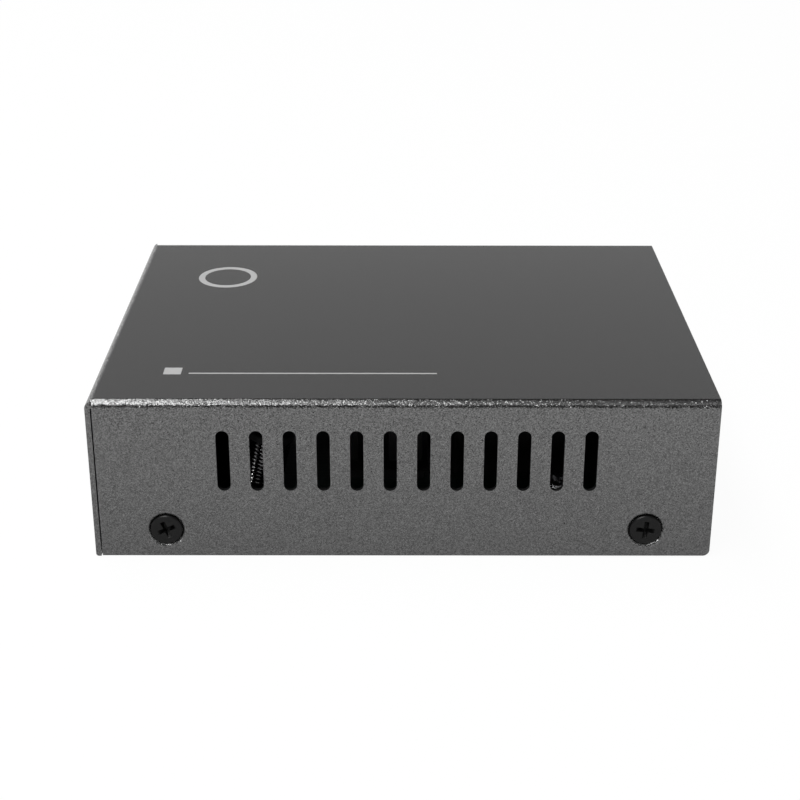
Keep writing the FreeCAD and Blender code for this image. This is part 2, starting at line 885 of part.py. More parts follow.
def rj45_insulator():
    inside = copper_width / 2 - copper_shield - copper_gap
    roof = board_top_z + copper_height - copper_shield - copper_gap
    x = (insulator_rear_x(), port_x - copper_face_inset)
    body = block(x, (copper_y - inside, copper_y + inside), (board_top_z, roof))
    floor = board_top_z + copper_mouth_lift
    depth = (port_x - copper_mouth_depth, port_x + 1)
    mouth = block(depth, around(copper_y, copper_mouth_width), (floor, plug_roof_z()))
    key = block(depth, around(copper_y, copper_key_width), (floor - copper_key_depth, floor + 0.1))
    tab = block(depth, around(copper_y, copper_key_width / 2),
                (floor - 1.5 * copper_key_depth, floor - copper_key_depth + 0.1))
    grooves = []
    for y in contact_ys():
        grooves.append(block(
            (x[0] - 1, port_x - contact_start + 0.3),
            around(y, contact_width + 2 * groove_gap),
            (plug_roof_z() - 0.01, plug_roof_z() + contact_thick + 2 * groove_gap),
        ))
    return body.cut([mouth, key, tab] + grooves)


def copper_contact(y):
    """One wire: solder tail, upright leg, run along the roof, and the sloping spring."""
    low = plug_roof_z() + groove_gap
    high = low + contact_thick
    rear = contact_rear_x()
    front = port_x - contact_start
    width = around(y, contact_width)
    upright = block((rear, rear + contact_thick), width, (board_z - pin_tail, high))
    run = block((rear, front), width, (low, high))
    end = front - contact_reach
    drop = contact_drop
    spring = prism_y(
        [(front, high), (front, low), (end, low - drop), (end - 0.3, low - drop + 0.1),
         (end - 0.2, low - drop + contact_thick), (front - 1.0, high)],
        width,
    )
    return joined([upright, run, spring])


def rj45_contacts():
    return group([copper_contact(y) for y in contact_ys()])


# ---------------------------------------------------------------- indicator lamps
def lamp_axes():
    return [(y, board_top_z + lift) for y in lamp_ys for lift in lamp_lifts]


def lamp(y, z, level):
    """Round lamp with a domed end and two legs bent down through the board."""
    body = turned([
        (0, 0),
        (lamp_flange, 0),
        (lamp_flange, lamp_flange_length),
        (lamp_radius, lamp_flange_length),
        (lamp_radius, lamp_length, lamp_radius * 0.98),
        (0, lamp_length),
    ])
    pieces = [facing(body, (lamp_base_x, y, z), (1, 0, 0))]
    leg_x = lamp_leg_xs()[level]
    for side in (-1, 1):
        leg_y = y + side * lamp_leg_gap / 2
        pieces.append(rod(pin_radius, (leg_x - pin_radius, leg_y, z), (1, 0, 0),
                          lamp_base_x - leg_x + 2 * pin_radius))
        drop = z - (board_z - pin_tail)
        pieces.append(rod(pin_radius, (leg_x, leg_y, z), (0, 0, -1), drop))
    return joined(pieces)


def lamp_holder(y):
    """Black block that carries one lamp above another, open at the back for their legs."""
    x = (holder_x - holder_length, holder_x)
    z = (board_top_z, board_top_z + holder_height)
    body = prism_z(rectangle(x, around(y, 2 * holder_half_width), 0.3), z)
    flange_x = lamp_base_x + lamp_flange_length + 0.05
    inner = holder_half_width - holder_wall
    cuts = [block((x[0] - 1, lamp_base_x - 0.3), (y - inner, y + inner), (z[0] - 1, z[1] - holder_wall))]
    for lift in lamp_lifts:
        start = (lamp_base_x - 1.0, y, board_top_z + lift)
        cuts.append(rod(lamp_flange + 0.05, start, (1, 0, 0), flange_x - start[0]))
        cuts.append(rod(lamp_radius + 0.05, start, (1, 0, 0), holder_length + 2))
    return body.cut(cuts)


# ---------------------------------------------------------------- power socket
def dc_jack_housing():
    x = (power_rear_x, power_front_x)
    body = prism_x(
        rectangle(around(power_y, power_width), (board_top_z, board_top_z + power_height), 0.6), x
    )
    start = rear_x + power_nose_inset
    nose = rod(power_nose_radius, (start, power_y, power_axis_z), (1, 0, 0), x[0] + 1 - start)
    bore = rod(power_bore_radius, (start - 1, power_y, power_axis_z), (1, 0, 0), power_bore_depth + 1)
    seat = rod(power_pin_radius + thread_gap, (start, power_y, power_axis_z), (1, 0, 0),
               power_bore_depth + power_pin_seat)
    return joined([body, nose]).cut([bore, seat])


def dc_jack_pin():
    start = rear_x + power_nose_inset + power_pin_inset
    length = power_bore_depth - power_pin_inset + power_pin_seat
    pin = turned([(0, 0), (power_pin_radius, 0), (power_pin_radius, length, 0.45), (0, length)])
    return facing(pin, (start + length, power_y, power_axis_z), (-1, 0, 0))


# ---------------------------------------------------------------- option switches
def slider_ys():
    return [switch_y + (i - (switch_count - 1) / 2) * switch_pitch for i in range(switch_count)]


def switch_body_width():
    return switch_count * switch_pitch + switch_margin


def dip_switch_body():
    x = (switch_face_x, switch_front_x)
    z = (board_top_z, board_top_z + switch_height)
    body = block(x, around(switch_y, switch_body_width()), z)
    cuts = []
    slot_height = slider_height + switch_travel + 2 * slider_gap
    room_height = slider_foot_height + switch_travel + 2 * slider_gap
    for y in slider_ys():
        slot = block((x[0] - 1, x[0] + switch_skin + 0.1), around(y, slider_width + 2 * slider_gap),
                     around(switch_axis_z, slot_height))
        room = block(
            (x[0] + switch_skin, x[0] + switch_skin + slider_foot_depth + 2 * slider_gap),
            around(y, slider_foot_width + 2 * slider_gap),
            around(switch_axis_z, room_height),
        )
        cuts.append(slot.fuse(room))
    return body.cut(cuts)


def dip_slider(y):
    """One slider at the lower end of its travel."""
    z = switch_axis_z - switch_travel / 2
    tip = rear_x + slider_tip_inset
    foot_start = switch_face_x + switch_skin + slider_gap
    foot_end = foot_start + slider_foot_depth
    stem = prism_y(
        rectangle((tip, foot_end), around(z, slider_height)), around(y, slider_width)
    )
    edges = [e for e in stem.Edges if abs(e.CenterOfMass.x - tip) < 1e-6]
    stem = stem.makeFillet(0.2, edges)
    foot = block((foot_start, foot_end), around(y, slider_foot_width), around(z, slider_foot_height))
    return joined([stem, foot])


# ---------------------------------------------------------------- parts on the board
def on_coil_axis(shape):
    """Shape made about Z, leaning so that its lower rim just touches the board."""
    lean = math.radians(coil_lean)
    rise = coil_radius * math.sin(lean)
    return facing(shape, (coil_x, coil_y, board_top_z + rise), (math.sin(lean), 0, math.cos(lean)))


def inductor_core():
    """Drum of ferrite: two flanges on a post."""
    drum = turned([
        (0, 0),
        (coil_radius, 0),
        (coil_radius, coil_flange),
        (coil_post_radius, coil_flange),
        (coil_post_radius, coil_height - coil_flange),
        (coil_radius, coil_height - coil_flange),
        (coil_radius, coil_height - coil_edge),
        (coil_radius - coil_edge, coil_height),
        (0, coil_height),
    ])
    return on_coil_axis(drum)


def inductor_lead_points():
    half = coil_lead_pitch / 2
    return [(coil_x - half, coil_y), (coil_x + half, coil_y)]


def inductor_leads():
    """Two wire ends, from under the board up to the leaning drum."""
    reach = board_z - pin_tail
    length = board_top_z + coil_radius - reach
    leads = [rod(pin_radius, (x, y, reach), (0, 0, 1), length) for x, y in inductor_lead_points()]
    core = on_coil_axis(Part.makeCylinder(coil_radius, coil_height))
    return group([lead.cut(core) for lead in leads])


def inductor_winding():
    """Outer layer of the winding: one ridge for each turn of wire."""
    low = coil_flange + coil_gap
    room = coil_height - 2 * low
    turns = int(room / (2 * wire_radius))
    pitch = room / turns
    valley = coil_radius - coil_edge - wire_radius
    profile = [(coil_post_radius + coil_gap, low), (valley, low)]
    for i in range(turns):
        crest = low + (i + 0.5) * pitch
        profile.append((valley + wire_radius, crest - pitch / 5))
        profile.append((valley + wire_radius, crest + pitch / 5))
        profile.append((valley, crest + pitch / 2))
    profile.append((coil_post_radius + coil_gap, low + room))
    return on_coil_axis(turned(profile))


def transformer_core():
    """Two E halves glued face to face round the bobbin, drawn as one ferrite frame."""
    x = around(transformer_x, transformer_length)
    y = around(transformer_y, core_width)
    z = (board_top_z + core_lift, board_top_z + transformer_height)
    frame = block(x, y, z)
    middle = around(transformer_x, core_leg * 2)
    window_z = (z[0] + core_leg, z[1] - core_leg)
    cuts = [
        block((x[0] + core_leg, middle[0]), (y[0] - 1, y[1] + 1), window_z),
        block((middle[1], x[1] - core_leg), (y[0] - 1, y[1] + 1), window_z),
    ]
    return frame.cut(cuts)


def transformer_bobbin():
    """Taped winding on its bobbin, standing round the core's middle leg, with feet on the board."""
    z_low = board_top_z + core_lift + core_leg + bobbin_gap
    z_high = board_top_z + transformer_height - core_leg - bobbin_gap
    half = transformer_length / 2 - core_leg - bobbin_gap
    x = (transformer_x - half, transformer_x + half)
    y = around(transformer_y, transformer_width)
    body = block(x, y, (z_low, z_high))
    feet = []
    for side in (-1, 1):
        outer = transformer_y + side * transformer_width / 2
        inner = transformer_y + side * (core_width / 2 + bobbin_gap)
        span = sorted((outer, inner))
        feet.append(block(x, span, (board_top_z, z_low + 0.1)))
    leg = block(
        around(transformer_x, core_leg * 2 + 2 * bobbin_gap),
        around(transformer_y, core_width + 2 * bobbin_gap),
        (z_low - 1, z_high + 1),
    )
    return joined([body] + feet).cut(leg)


def round_can(x, y, radius, height):
    """Sleeved electrolytic capacitor with its crimp groove and scored top."""
    can = turned([
        (0, 0),
        (radius, 0),
        (radius, can_groove_lift - can_groove),
        (radius - can_groove, can_groove_lift),
        (radius, can_groove_lift + can_groove),
        (radius, height - can_edge),
        (radius - can_edge, height),
        (0, height),
    ])
    arm = (can_edge - radius, radius - can_edge)
    width = around(0, score_width)
    depth = (height - score_depth, height + 1)
    cuts = [block(arm, width, depth), block(width, arm, depth)]
    return facing(can.cut(cuts), (x, y, board_top_z), (0, 0, 1))


def moulded_chip(x, y, length, width, height):
    """Black moulded package with drafted sides and a dot at its first pin."""
    low = outline(rectangle(around(0, length), around(0, width)), lambda p: Vector(p.x, p.y, 0))
    inset = 2 * chip_draft
    high = outline(rectangle(around(0, length - inset), around(0, width - inset)),
                   lambda p: Vector(p.x, p.y, height))
    body = Part.makeLoft([low.OuterWire, high.OuterWire], True)
    corner = (chip_dot_inset - length / 2, chip_dot_inset - width / 2, height - chip_dot_depth)
    dot = rod(chip_dot_radius, corner, (0, 0, 1), 1.0)
    return facing(body.cut(dot), (x, y, board_top_z), (0, 0, 1))


def heat_sink():
    """Extruded fins on a flat base, stuck on the main chip with a pad."""
    low = board_top_z + chip_height + pad_height
    y = around(chip_y, sink_side)
    base = block(around(chip_x, sink_side), y, (low, low + sink_base))
    step = (sink_side - fin_thick) / (fin_count - 1)
    fins = []
    for i in range(fin_count):
        x = chip_x - sink_side / 2 + i * step
        fins.append(block((x, x + fin_thick), y, (low + sink_base - 0.1, low + sink_height)))
    return joined([base] + fins)


def thermal_pad():
    low = board_top_z + chip_height
    side = chip_side - 1.0
    return block(around(chip_x, side), around(chip_y, side), (low, low + pad_height))


def crystal_can():
    x = around(crystal_x, crystal_length)
    y = around(fibre_y + crystal_offset, crystal_width)
    corners = rectangle(x, y, crystal_width / 2 - 0.01)
    return prism_z(corners, (board_top_z, board_top_z + crystal_height))


# ---------------------------------------------------------------- all nodes
def case_nodes():
    return {
        "top_cover": top_cover(),
        "base_tray": base_tray(),
        "case_screws": case_screws(),
        "board_standoffs": board_standoffs(),
        "board_screws": board_screws(),
        "circuit_board": circuit_board(),
    }


def socket_nodes():
    return {
        "fibre_module_housing": fibre_module_housing(),
        "fibre_sleeve_transmit": fibre_sleeve(fibre_ys[0]),
        "fibre_sleeve_receive": fibre_sleeve(fibre_ys[1]),
        "fibre_module_pins": group(solder_pins(fibre_pin_points())),
        "rj45_shield": rj45_shield(),
        "rj45_insulator": rj45_insulator(),
        "rj45_contacts": rj45_contacts(),
        "dc_jack_housing": dc_jack_housing(),
        "dc_jack_pin": dc_jack_pin(),
        "dc_jack_terminals": group(solder_pins(power_pin_points())),
        "dip_switch_body": dip_switch_body(),
        "dip_switch_terminals": group(solder_pins(switch_pin_points())),
    }


def board_nodes():
    input_can = (input_can_x, power_y + input_can_offset, input_can_radius, input_can_height)
    output_can = (output_can_x, power_y + output_can_offset, output_can_radius, output_can_height)
    power_chip = (power_chip_x, transformer_y, power_chip_side, power_chip_side, power_chip_height)
    rectifier = (rectifier_x, power_y + rectifier_offset, rectifier_length, rectifier_width,
                 rectifier_height)
    magnetics = (magnetics_x, copper_y, magnetics_length, magnetics_width, magnetics_height)
    return {
        "inductor_core": inductor_core(),
        "inductor_winding": inductor_winding(),
        "inductor_leads": inductor_leads(),
        "transformer_core": transformer_core(),
        "transformer_bobbin": transformer_bobbin(),
        "input_capacitor": round_can(*input_can),
        "output_capacitor": round_can(*output_can),
        "main_chip": moulded_chip(chip_x, chip_y, chip_side, chip_side, chip_height),
        "thermal_pad": thermal_pad(),
        "heat_sink": heat_sink(),
        "power_controller_chip": moulded_chip(*power_chip),
        "rectifier": moulded_chip(*rectifier),
        "network_magnetics": moulded_chip(*magnetics),
        "crystal_can": crystal_can(),
    }


def repeated_nodes():
    nodes = {}
    for index, y in enumerate(lamp_ys):
        nodes[f"lamp_holder_{index + 1}"] = lamp_holder(y)
    for index, (name, (y, z)) in enumerate(zip(lamp_names, lamp_axes())):
        nodes[f"lamp_{name}"] = lamp(y, z, index % len(lamp_lifts))
    for index, y in enumerate(slider_ys()):
        nodes[f"dip_slider_{index + 1}"] = dip_slider(y)
    return nodes


os.makedirs("parts", exist_ok=True)
for node, shape in (case_nodes() | socket_nodes() | board_nodes() | repeated_nodes()).items():
    shape.exportStep(f"parts/{node}.step")
    print(f"{node}: {len(shape.Solids)} solid, {shape.Volume:.1f} mm3, valid {shape.isValid()}")
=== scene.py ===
# %% [markdown]
# A fibre media converter: a small powder-coated steel box whose circuit board joins a fibre
# line to a copper line. The solids come from a CAD model, so this lesson gives them their
# finishes, a studio and a camera, and models the few small things that need a mesh of their own.

# %% Load the solids
import math

import bpy
from mathutils import Euler, Matrix, Vector


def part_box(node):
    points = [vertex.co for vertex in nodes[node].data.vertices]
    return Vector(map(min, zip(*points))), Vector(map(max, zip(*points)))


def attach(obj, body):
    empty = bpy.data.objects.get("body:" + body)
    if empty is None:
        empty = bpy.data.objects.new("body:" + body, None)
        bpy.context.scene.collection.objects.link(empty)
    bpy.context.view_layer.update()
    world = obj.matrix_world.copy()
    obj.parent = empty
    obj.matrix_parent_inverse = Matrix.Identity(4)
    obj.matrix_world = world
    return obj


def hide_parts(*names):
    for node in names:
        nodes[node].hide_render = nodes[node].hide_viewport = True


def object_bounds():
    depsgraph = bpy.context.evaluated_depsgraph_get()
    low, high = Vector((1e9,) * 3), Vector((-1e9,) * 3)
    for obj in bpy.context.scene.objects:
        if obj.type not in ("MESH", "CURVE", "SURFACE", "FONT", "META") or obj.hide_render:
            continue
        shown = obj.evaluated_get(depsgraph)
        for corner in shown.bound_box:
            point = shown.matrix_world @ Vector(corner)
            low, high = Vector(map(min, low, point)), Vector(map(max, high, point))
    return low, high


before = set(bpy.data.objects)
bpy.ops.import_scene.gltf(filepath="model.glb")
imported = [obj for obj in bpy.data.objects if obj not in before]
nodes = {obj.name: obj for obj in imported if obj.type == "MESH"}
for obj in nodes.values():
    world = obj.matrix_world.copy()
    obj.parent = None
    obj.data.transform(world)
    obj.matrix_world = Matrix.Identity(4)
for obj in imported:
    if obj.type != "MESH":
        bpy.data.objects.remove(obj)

cad_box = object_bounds()
MM = 0.001
print("nodes:", len(nodes), "box:", cad_box)

# %% [markdown]
# Everything is in metres, but a maker thinks in millimetres, so sizes are written as a number
# times MM. Colours are written as the hex values that a paint chart gives. Blender's shaders
# work in linear light, so one function turns each hex pair into a linear value.


# %% Colours
def colour(text):
    """Linear RGBA from an sRGB hex colour such as 5a5b5c."""
    linear = []
    for i in (0, 2, 4):
        value = int(text[i:i + 2], 16) / 255
        if value <= 0.04045:
            linear.append(value / 12.92)
        else:
            linear.append(((value + 0.055) / 1.055) ** 2.4)
    return (*linear, 1.0)


print("mid grey in linear light:", round(colour("808080")[0], 3))

# %% [markdown]
# A material is a small graph of nodes. Adding one node always takes the same steps: make it,
# set its options, then fill or link its inputs. One function does those steps, so each finish
# below reads as a list of what is joined to what.


# %% Nodes and materials
def add(tree, kind, inputs=None, **options):
    """Add a shader node, set its options, and fill or link its inputs."""
    made = tree.nodes.new(kind)
    for key, value in options.items():
        setattr(made, key, value)
    for key, value in (inputs or {}).items():
        if isinstance(value, bpy.types.NodeSocket):
            tree.links.new(value, made.inputs[key])
        else:
            made.inputs[key].default_value = value
    return made


def start_material(name, roughness, metallic=0.0):
    """A material with an empty graph but for its shader; returns it, its tree and the shader."""
    material = bpy.data.materials.new(name)
    material.use_nodes = True
    tree = material.node_tree
    shader = tree.nodes["Principled BSDF"]
    shader.inputs["Roughness"].default_value = roughness
    shader.inputs["Metallic"].default_value = metallic
    return material, tree, shader


def fill_slots(piece, material):
    """Put a material in every slot of a piece, or in a new slot if it has none."""
    slots = piece.data.materials
    for i in range(len(slots)):
        slots[i] = material
    if not len(slots):
        slots.append(material)


def coat(material, *names):
    """Give CAD nodes a material."""
    for name in names:
        fill_slots(nodes[name], material)
    print(material.name, "on", ", ".join(names))


def per_size(size_mm):
    """Texture scale that gives features of about this size on Object coordinates."""
    return 1 / (size_mm * MM)


# %% [markdown]
# The camera stands in front of the long side and looks down a little, as a buyer looks at a
# box on a shelf. A lens near 70 mm on a 36 mm sensor keeps the box's edges calm. The small
# vertical shift keeps the upright edges nearly upright. Its turn is made of three rotations:
# down about its own side axis, a hair round to the right, and a hair of roll.

# %% Camera
CAMERA_PLACE = Vector((-0.82, -242.6, 123.55))   # mm
TURN = -0.094            # degrees about the upright axis, so to the right
DOWN = 22.494            # degrees below level
ROLL = 0.098             # degrees about the line of sight
camera_data = bpy.data.cameras.new("camera")
camera_data.lens = 70.04
camera_data.sensor_width = 36.0
camera_data.shift_y = -0.0875
camera_data.clip_start = 0.01
camera = bpy.data.objects.new("camera", camera_data)
bpy.context.scene.collection.objects.link(camera)
camera.location = CAMERA_PLACE * MM
yaw = Matrix.Rotation(math.radians(TURN), 3, "Z")
pitch = Matrix.Rotation(math.radians(90 - DOWN), 3, "X")
roll = Matrix.Rotation(math.radians(ROLL), 3, "Z")
camera.rotation_euler = (yaw @ pitch @ roll).to_euler()
bpy.context.scene.camera = camera
print("camera at", tuple(round(v, 4) for v in camera.location))

# %% [markdown]
# A product studio is a white sweep under a dim ceiling, with a few large soft lamps. The floor
# is a plain sheet of white paper. For camera, glossy and transmission rays it mixes in a plain
# white glow, so that it reads as white while the box still leaves a soft shadow on it. For
# glossy rays the glow dims towards the box, a painted shade like that of paper beside a dark
# thing, so that the walls mirror a little less light near their feet.


# %% White floor
FLOOR_SIZE = 8.0         # m
PAPER_GRAIN = 2.0        # mm
MATT = 0.9               # roughness of paper, cloth and felt
SHADE_REACH = 0.09       # m from the box, where the paper is fully bright
SHADE_DEEP = 0.45        # light that the paper lacks right beside the box
GLOW_SHARE = 0.96        # share of the glow in what is seen; the rest is lit paper


def seen_rays(tree):
    """1 for the rays that show a background: camera, glossy and transmission rays."""
    path = add(tree, "ShaderNodeLightPath")
    first = add(tree, "ShaderNodeMath", {0: path.outputs["Is Camera Ray"],
                1: path.outputs["Is Glossy Ray"]}, operation="MAXIMUM")
    both = add(tree, "ShaderNodeMath", {0: first.outputs[0],
               1: path.outputs["Is Transmission Ray"]}, operation="MAXIMUM")
    return both.outputs[0]


bpy.ops.object.select_all(action="DESELECT")
bpy.ops.mesh.primitive_plane_add(size=FLOOR_SIZE, location=(0, 0, 0))
floor = bpy.context.object
floor.name = "floor"
paper, tree, shader = start_material("white_paper_sweep", MATT)
grain = add(tree, "ShaderNodeTexNoise", {"Scale": per_size(PAPER_GRAIN), "Detail": 2.0})
tone = add(tree, "ShaderNodeMix", {"Factor": grain.outputs["Fac"], "A": colour("f2f2f2"),
                                   "B": colour("f6f6f6")}, data_type="RGBA")
tree.links.new(tone.outputs["Result"], shader.inputs["Base Color"])
place = add(tree, "ShaderNodeTexCoord")
away = add(tree, "ShaderNodeVectorMath", {0: place.outputs["Object"]}, operation="ABSOLUTE")
past = add(tree, "ShaderNodeVectorMath", {0: away.outputs[0], 1: cad_box[1]},
           operation="SUBTRACT")
split = add(tree, "ShaderNodeSeparateXYZ", {0: past.outputs[0]})
gap = add(tree, "ShaderNodeMath", {0: split.outputs["X"], 1: split.outputs["Y"]},
          operation="MAXIMUM")
shade = add(tree, "ShaderNodeMapRange", {"Value": gap.outputs[0], "From Min": 0.0,
            "From Max": SHADE_REACH, "To Min": SHADE_DEEP, "To Max": 0.0})
path = add(tree, "ShaderNodeLightPath")
level = add(tree, "ShaderNodeMath", {0: path.outputs["Is Glossy Ray"],
            1: shade.outputs["Result"]}, operation="MULTIPLY")
level = add(tree, "ShaderNodeMath", {0: 1.0, 1: level.outputs[0]}, operation="SUBTRACT")
glow = add(tree, "ShaderNodeEmission", {"Color": (1, 1, 1, 1), "Strength": level.outputs[0]})
share = add(tree, "ShaderNodeMath", {0: seen_rays(tree), 1: GLOW_SHARE}, operation="MULTIPLY")
blend = add(tree, "ShaderNodeMixShader", {0: share.outputs[0], 1: shader.outputs[0],
                                          2: glow.outputs[0]})
tree.links.new(blend.outputs[0], tree.nodes["Material Output"].inputs["Surface"])
fill_slots(floor, paper)
print("floor:", FLOOR_SIZE, "m wide, dimmer within", SHADE_REACH, "m of the box")

# %% [markdown]
# The coat of the box mirrors its surroundings softly, so what hangs above decides how the roof
# and its bends read. Studios stretch a large cloth overhead. Here the cloth is a glowing plane
# out of the camera's sight. It is brightest beside the softbox, fades to the right, and is dim
# behind the box, which draws a thin dark line along the top of the front bend. Far from the box
# it is mid grey all round, which is what the roof shows.

# %% Cloth ceiling
CEILING_SIZE = 9.0                   # m
CEILING_HEIGHT = 1.2                 # m
DIM_FROM, DIM_TO = -0.1, 0.6         # m behind the box, where the cloth turns dim
FAR_MIDDLE = Vector((0.0, -0.5, 0.0))    # m, middle of the ring where the mid grey starts
FAR_FROM, FAR_TO = 2.25, 2.6         # m from that middle, along the box's short way
FAR_SQUEEZE = (1.7, 1.0, 0.0)        # the ring is this much narrower across
NEAR_GLOW, FAR_GLOW = 0.004, 0.335   # glow inside the ring and past it
SPILL_FROM, SPILL_TO = -0.34, 0.28   # m across, where the softbox spills on the cloth
SPILL_POWER = 3.0                    # how fast the spill falls off
SPILL_GLOW, CLOTH_GLOW = 2.3, 0.19   # glow that the spill adds, and that of the cloth itself
EDGE_FROM, EDGE_TO = -2.1, -1.4      # m behind, so in front of the box, where the cloth starts
WING_FROM, WING_TO = -1.1, -0.7      # m across, where the cloth starts on the left


def glowing_card(name, glow):
    """A material that only glows, for a card or a cloth."""
    material, tree, _ = start_material(name, MATT)
    shine = add(tree, "ShaderNodeEmission")
    shine.inputs["Color"].default_value = colour(glow)
    tree.links.new(shine.outputs[0], tree.nodes["Material Output"].inputs["Surface"])
    return material, tree, shine


bpy.ops.mesh.primitive_plane_add(size=CEILING_SIZE, location=(0, 0, CEILING_HEIGHT))
ceiling = bpy.context.object
ceiling.name = "ceiling"
cloth, tree, shine = glowing_card("grey_ceiling_cloth", "ffffff")
place = add(tree, "ShaderNodeTexCoord")
split = add(tree, "ShaderNodeSeparateXYZ", {0: place.outputs["Object"]})
across = add(tree, "ShaderNodeMapRange", {"Value": split.outputs["X"], "From Min": SPILL_FROM,
             "From Max": SPILL_TO, "To Min": 1.0, "To Max": 0.0})
spill = add(tree, "ShaderNodeMath", {0: across.outputs["Result"], 1: SPILL_POWER},
            operation="POWER")
spill = add(tree, "ShaderNodeMath", {0: spill.outputs[0], 1: SPILL_GLOW, 2: CLOTH_GLOW},
            operation="MULTIPLY_ADD")
dim = add(tree, "ShaderNodeMapRange", {"Value": split.outputs["Y"], "From Min": DIM_FROM,
          "From Max": DIM_TO, "To Min": 1.0, "To Max": 0.0}, interpolation_type="SMOOTHSTEP")
edge = add(tree, "ShaderNodeMapRange", {"Value": split.outputs["Y"], "From Min": EDGE_FROM,
           "From Max": EDGE_TO}, interpolation_type="SMOOTHSTEP")
wing = add(tree, "ShaderNodeMapRange", {"Value": split.outputs["X"], "From Min": WING_FROM,
           "From Max": WING_TO}, interpolation_type="SMOOTHSTEP")
spread = add(tree, "ShaderNodeMath", {0: dim.outputs["Result"], 1: edge.outputs["Result"]},
             operation="MULTIPLY")
spread = add(tree, "ShaderNodeMath", {0: spread.outputs[0], 1: wing.outputs["Result"]},
             operation="MULTIPLY")
overhead = add(tree, "ShaderNodeMath", {0: spill.outputs[0], 1: spread.outputs[0]},
               operation="MULTIPLY")
flat = add(tree, "ShaderNodeVectorMath", {0: place.outputs["Object"], 1: FAR_SQUEEZE},
           operation="MULTIPLY")
away = add(tree, "ShaderNodeVectorMath", {0: flat.outputs[0], 1: FAR_MIDDLE},
           operation="DISTANCE")
far = add(tree, "ShaderNodeMapRange", {"Value": away.outputs["Value"], "From Min": FAR_FROM,
          "From Max": FAR_TO, "To Min": NEAR_GLOW, "To Max": FAR_GLOW})
glow = add(tree, "ShaderNodeMath", {0: overhead.outputs[0], 1: far.outputs["Result"]},
           operation="MAXIMUM")
tree.links.new(glow.outputs[0], shine.inputs["Strength"])
fill_slots(ceiling, cloth)
ceiling.visible_camera = False
ceiling.visible_shadow = False
print("ceiling:", CEILING_SIZE, "m wide at", CEILING_HEIGHT, "m")

# %% [markdown]
# The lower edge of the bend needs its own dark thing to mirror, just above the paper in front of
# the box. A black card leans there, out of the camera's sight, with its near edge just above
# the paper and its far edge about half a metre up.

# %% Black card in front
CARD_MIDDLE = Vector((0.0, -0.655, 0.295))       # m
CARD_LEAN = math.atan2(-0.55, 1.05)              # rise for each run towards the box
CARD_SIZE = Vector((1.8, 1.185, 1.0))            # m across and along, from a plane of 1 m
bpy.ops.mesh.primitive_plane_add(size=1.0, location=(0, 0, 0))
card = bpy.context.object
card.name = "front_card"
card.data.transform(Matrix.LocRotScale(CARD_MIDDLE, Euler((CARD_LEAN, 0, 0)), CARD_SIZE))
fill_slots(card, glowing_card("black_felt_card", "1a1a1a")[0])
card.visible_camera = False
card.visible_shadow = False
print("black card:", round(CARD_SIZE.x, 3), "by", round(CARD_SIZE.y, 3), "m")

# %% [markdown]
# The key lamp is a long softbox under the ceiling on the left. It runs from in front of the box
# to behind it, so the rounded front bend shows it as a bright line that fades to the right. A
# small lamp at the front right and a tiny one at the front left wake the grains that lean far,
# which a wide lamp would blur together. The tiny one also reaches the choke's wire through a
# slot. The world is white where it is seen and grey as a light.

# %% Lamps and world
WORLD_LIT, WORLD_SEEN = 0.3, 1.0         # the world's strength as a light, and as a background


def lamp(name, place, aim, size, power):
    """A rectangular lamp in metres and watts, turned to face what it lights."""
    data = bpy.data.lights.new(name, "AREA")
    data.shape = "RECTANGLE"
    data.size, data.size_y = size
    data.energy = power
    made = bpy.data.objects.new(name, data)
    bpy.context.scene.collection.objects.link(made)
    made.location = place
    made.rotation_euler = (Vector(aim) - Vector(place)).to_track_quat("-Z", "Y").to_euler()
    print(name, "at", place, "power", power)


# name, place, the point it faces, size and power
lamp("left_softbox", (-0.37, -0.26, 1.0), (-0.37, -0.26, 0), (0.3, 2.22), 13.9)
lamp("front_spot", (0.29, -0.66, 0.85), (0, 0, 0.02), (0.22, 0.22), 0.2)
lamp("left_sparkle", (-0.54, -0.9, 0.45), (0, 0, 0.02), (0.06, 0.06), 0.32)

world = bpy.data.worlds.new("studio")
bpy.context.scene.world = world
world.use_nodes = True
tree = world.node_tree
background = tree.nodes["Background"]
background.inputs["Color"].default_value = (1, 1, 1, 1)
level = add(tree, "ShaderNodeMapRange", {"Value": seen_rays(tree), "To Min": WORLD_LIT,
            "To Max": WORLD_SEEN})
tree.links.new(level.outputs["Result"], background.inputs["Strength"])
bpy.context.scene.view_settings.view_transform = "Standard"

# %% [markdown]
# The case is powder coated: a dry paint is sprayed on charged steel and baked until it flows
# into a skin. This one is a dark grey with metal powder in it and a fine sand texture, so most
# of its light comes straight off bright grains, as on a metal. Each cell of a Voronoi pattern
# stands for one grain and gets a tilt of its own. Most lean a little and a few lean far, and
# those catch the lamps one by one. Noise adds the soft hills between them. Real grains are a
# few hundredths of a millimetre wide. These are drawn several times coarser, so that they show.
#
# Inside the case and on the slots' cut walls the colour is darkened to near black, a painted
# shade.

# %% Powder coat
COAT_GRAIN = 0.13        # mm, one bright grain
COAT_HILL = 0.2          # mm, hills of the sand texture
COAT_RELIEF = 0.01       # mm, height of the hills
COAT_TILT = 1.15         # how far the boldest grains lean
COAT_ROUGHNESS = 0.19
COAT_METAL = 0.9
COAT_DARK, COAT_LIGHT = "585858", "868686"
BOLDNESS = 2.0           # power that keeps the lean of most grains small
ROOF_FROM, ROOF_TO = 0.97, 0.999         # how far a face must point up to be a roof
HILL_FROM, HILL_TO = 0.32, 0.68          # range of the noise that changes the tone
HILL_TONE = 0.3          # how far the hills change the tone, each way
MIDDLE = 0.5             # middle of a random value between 0 and 1


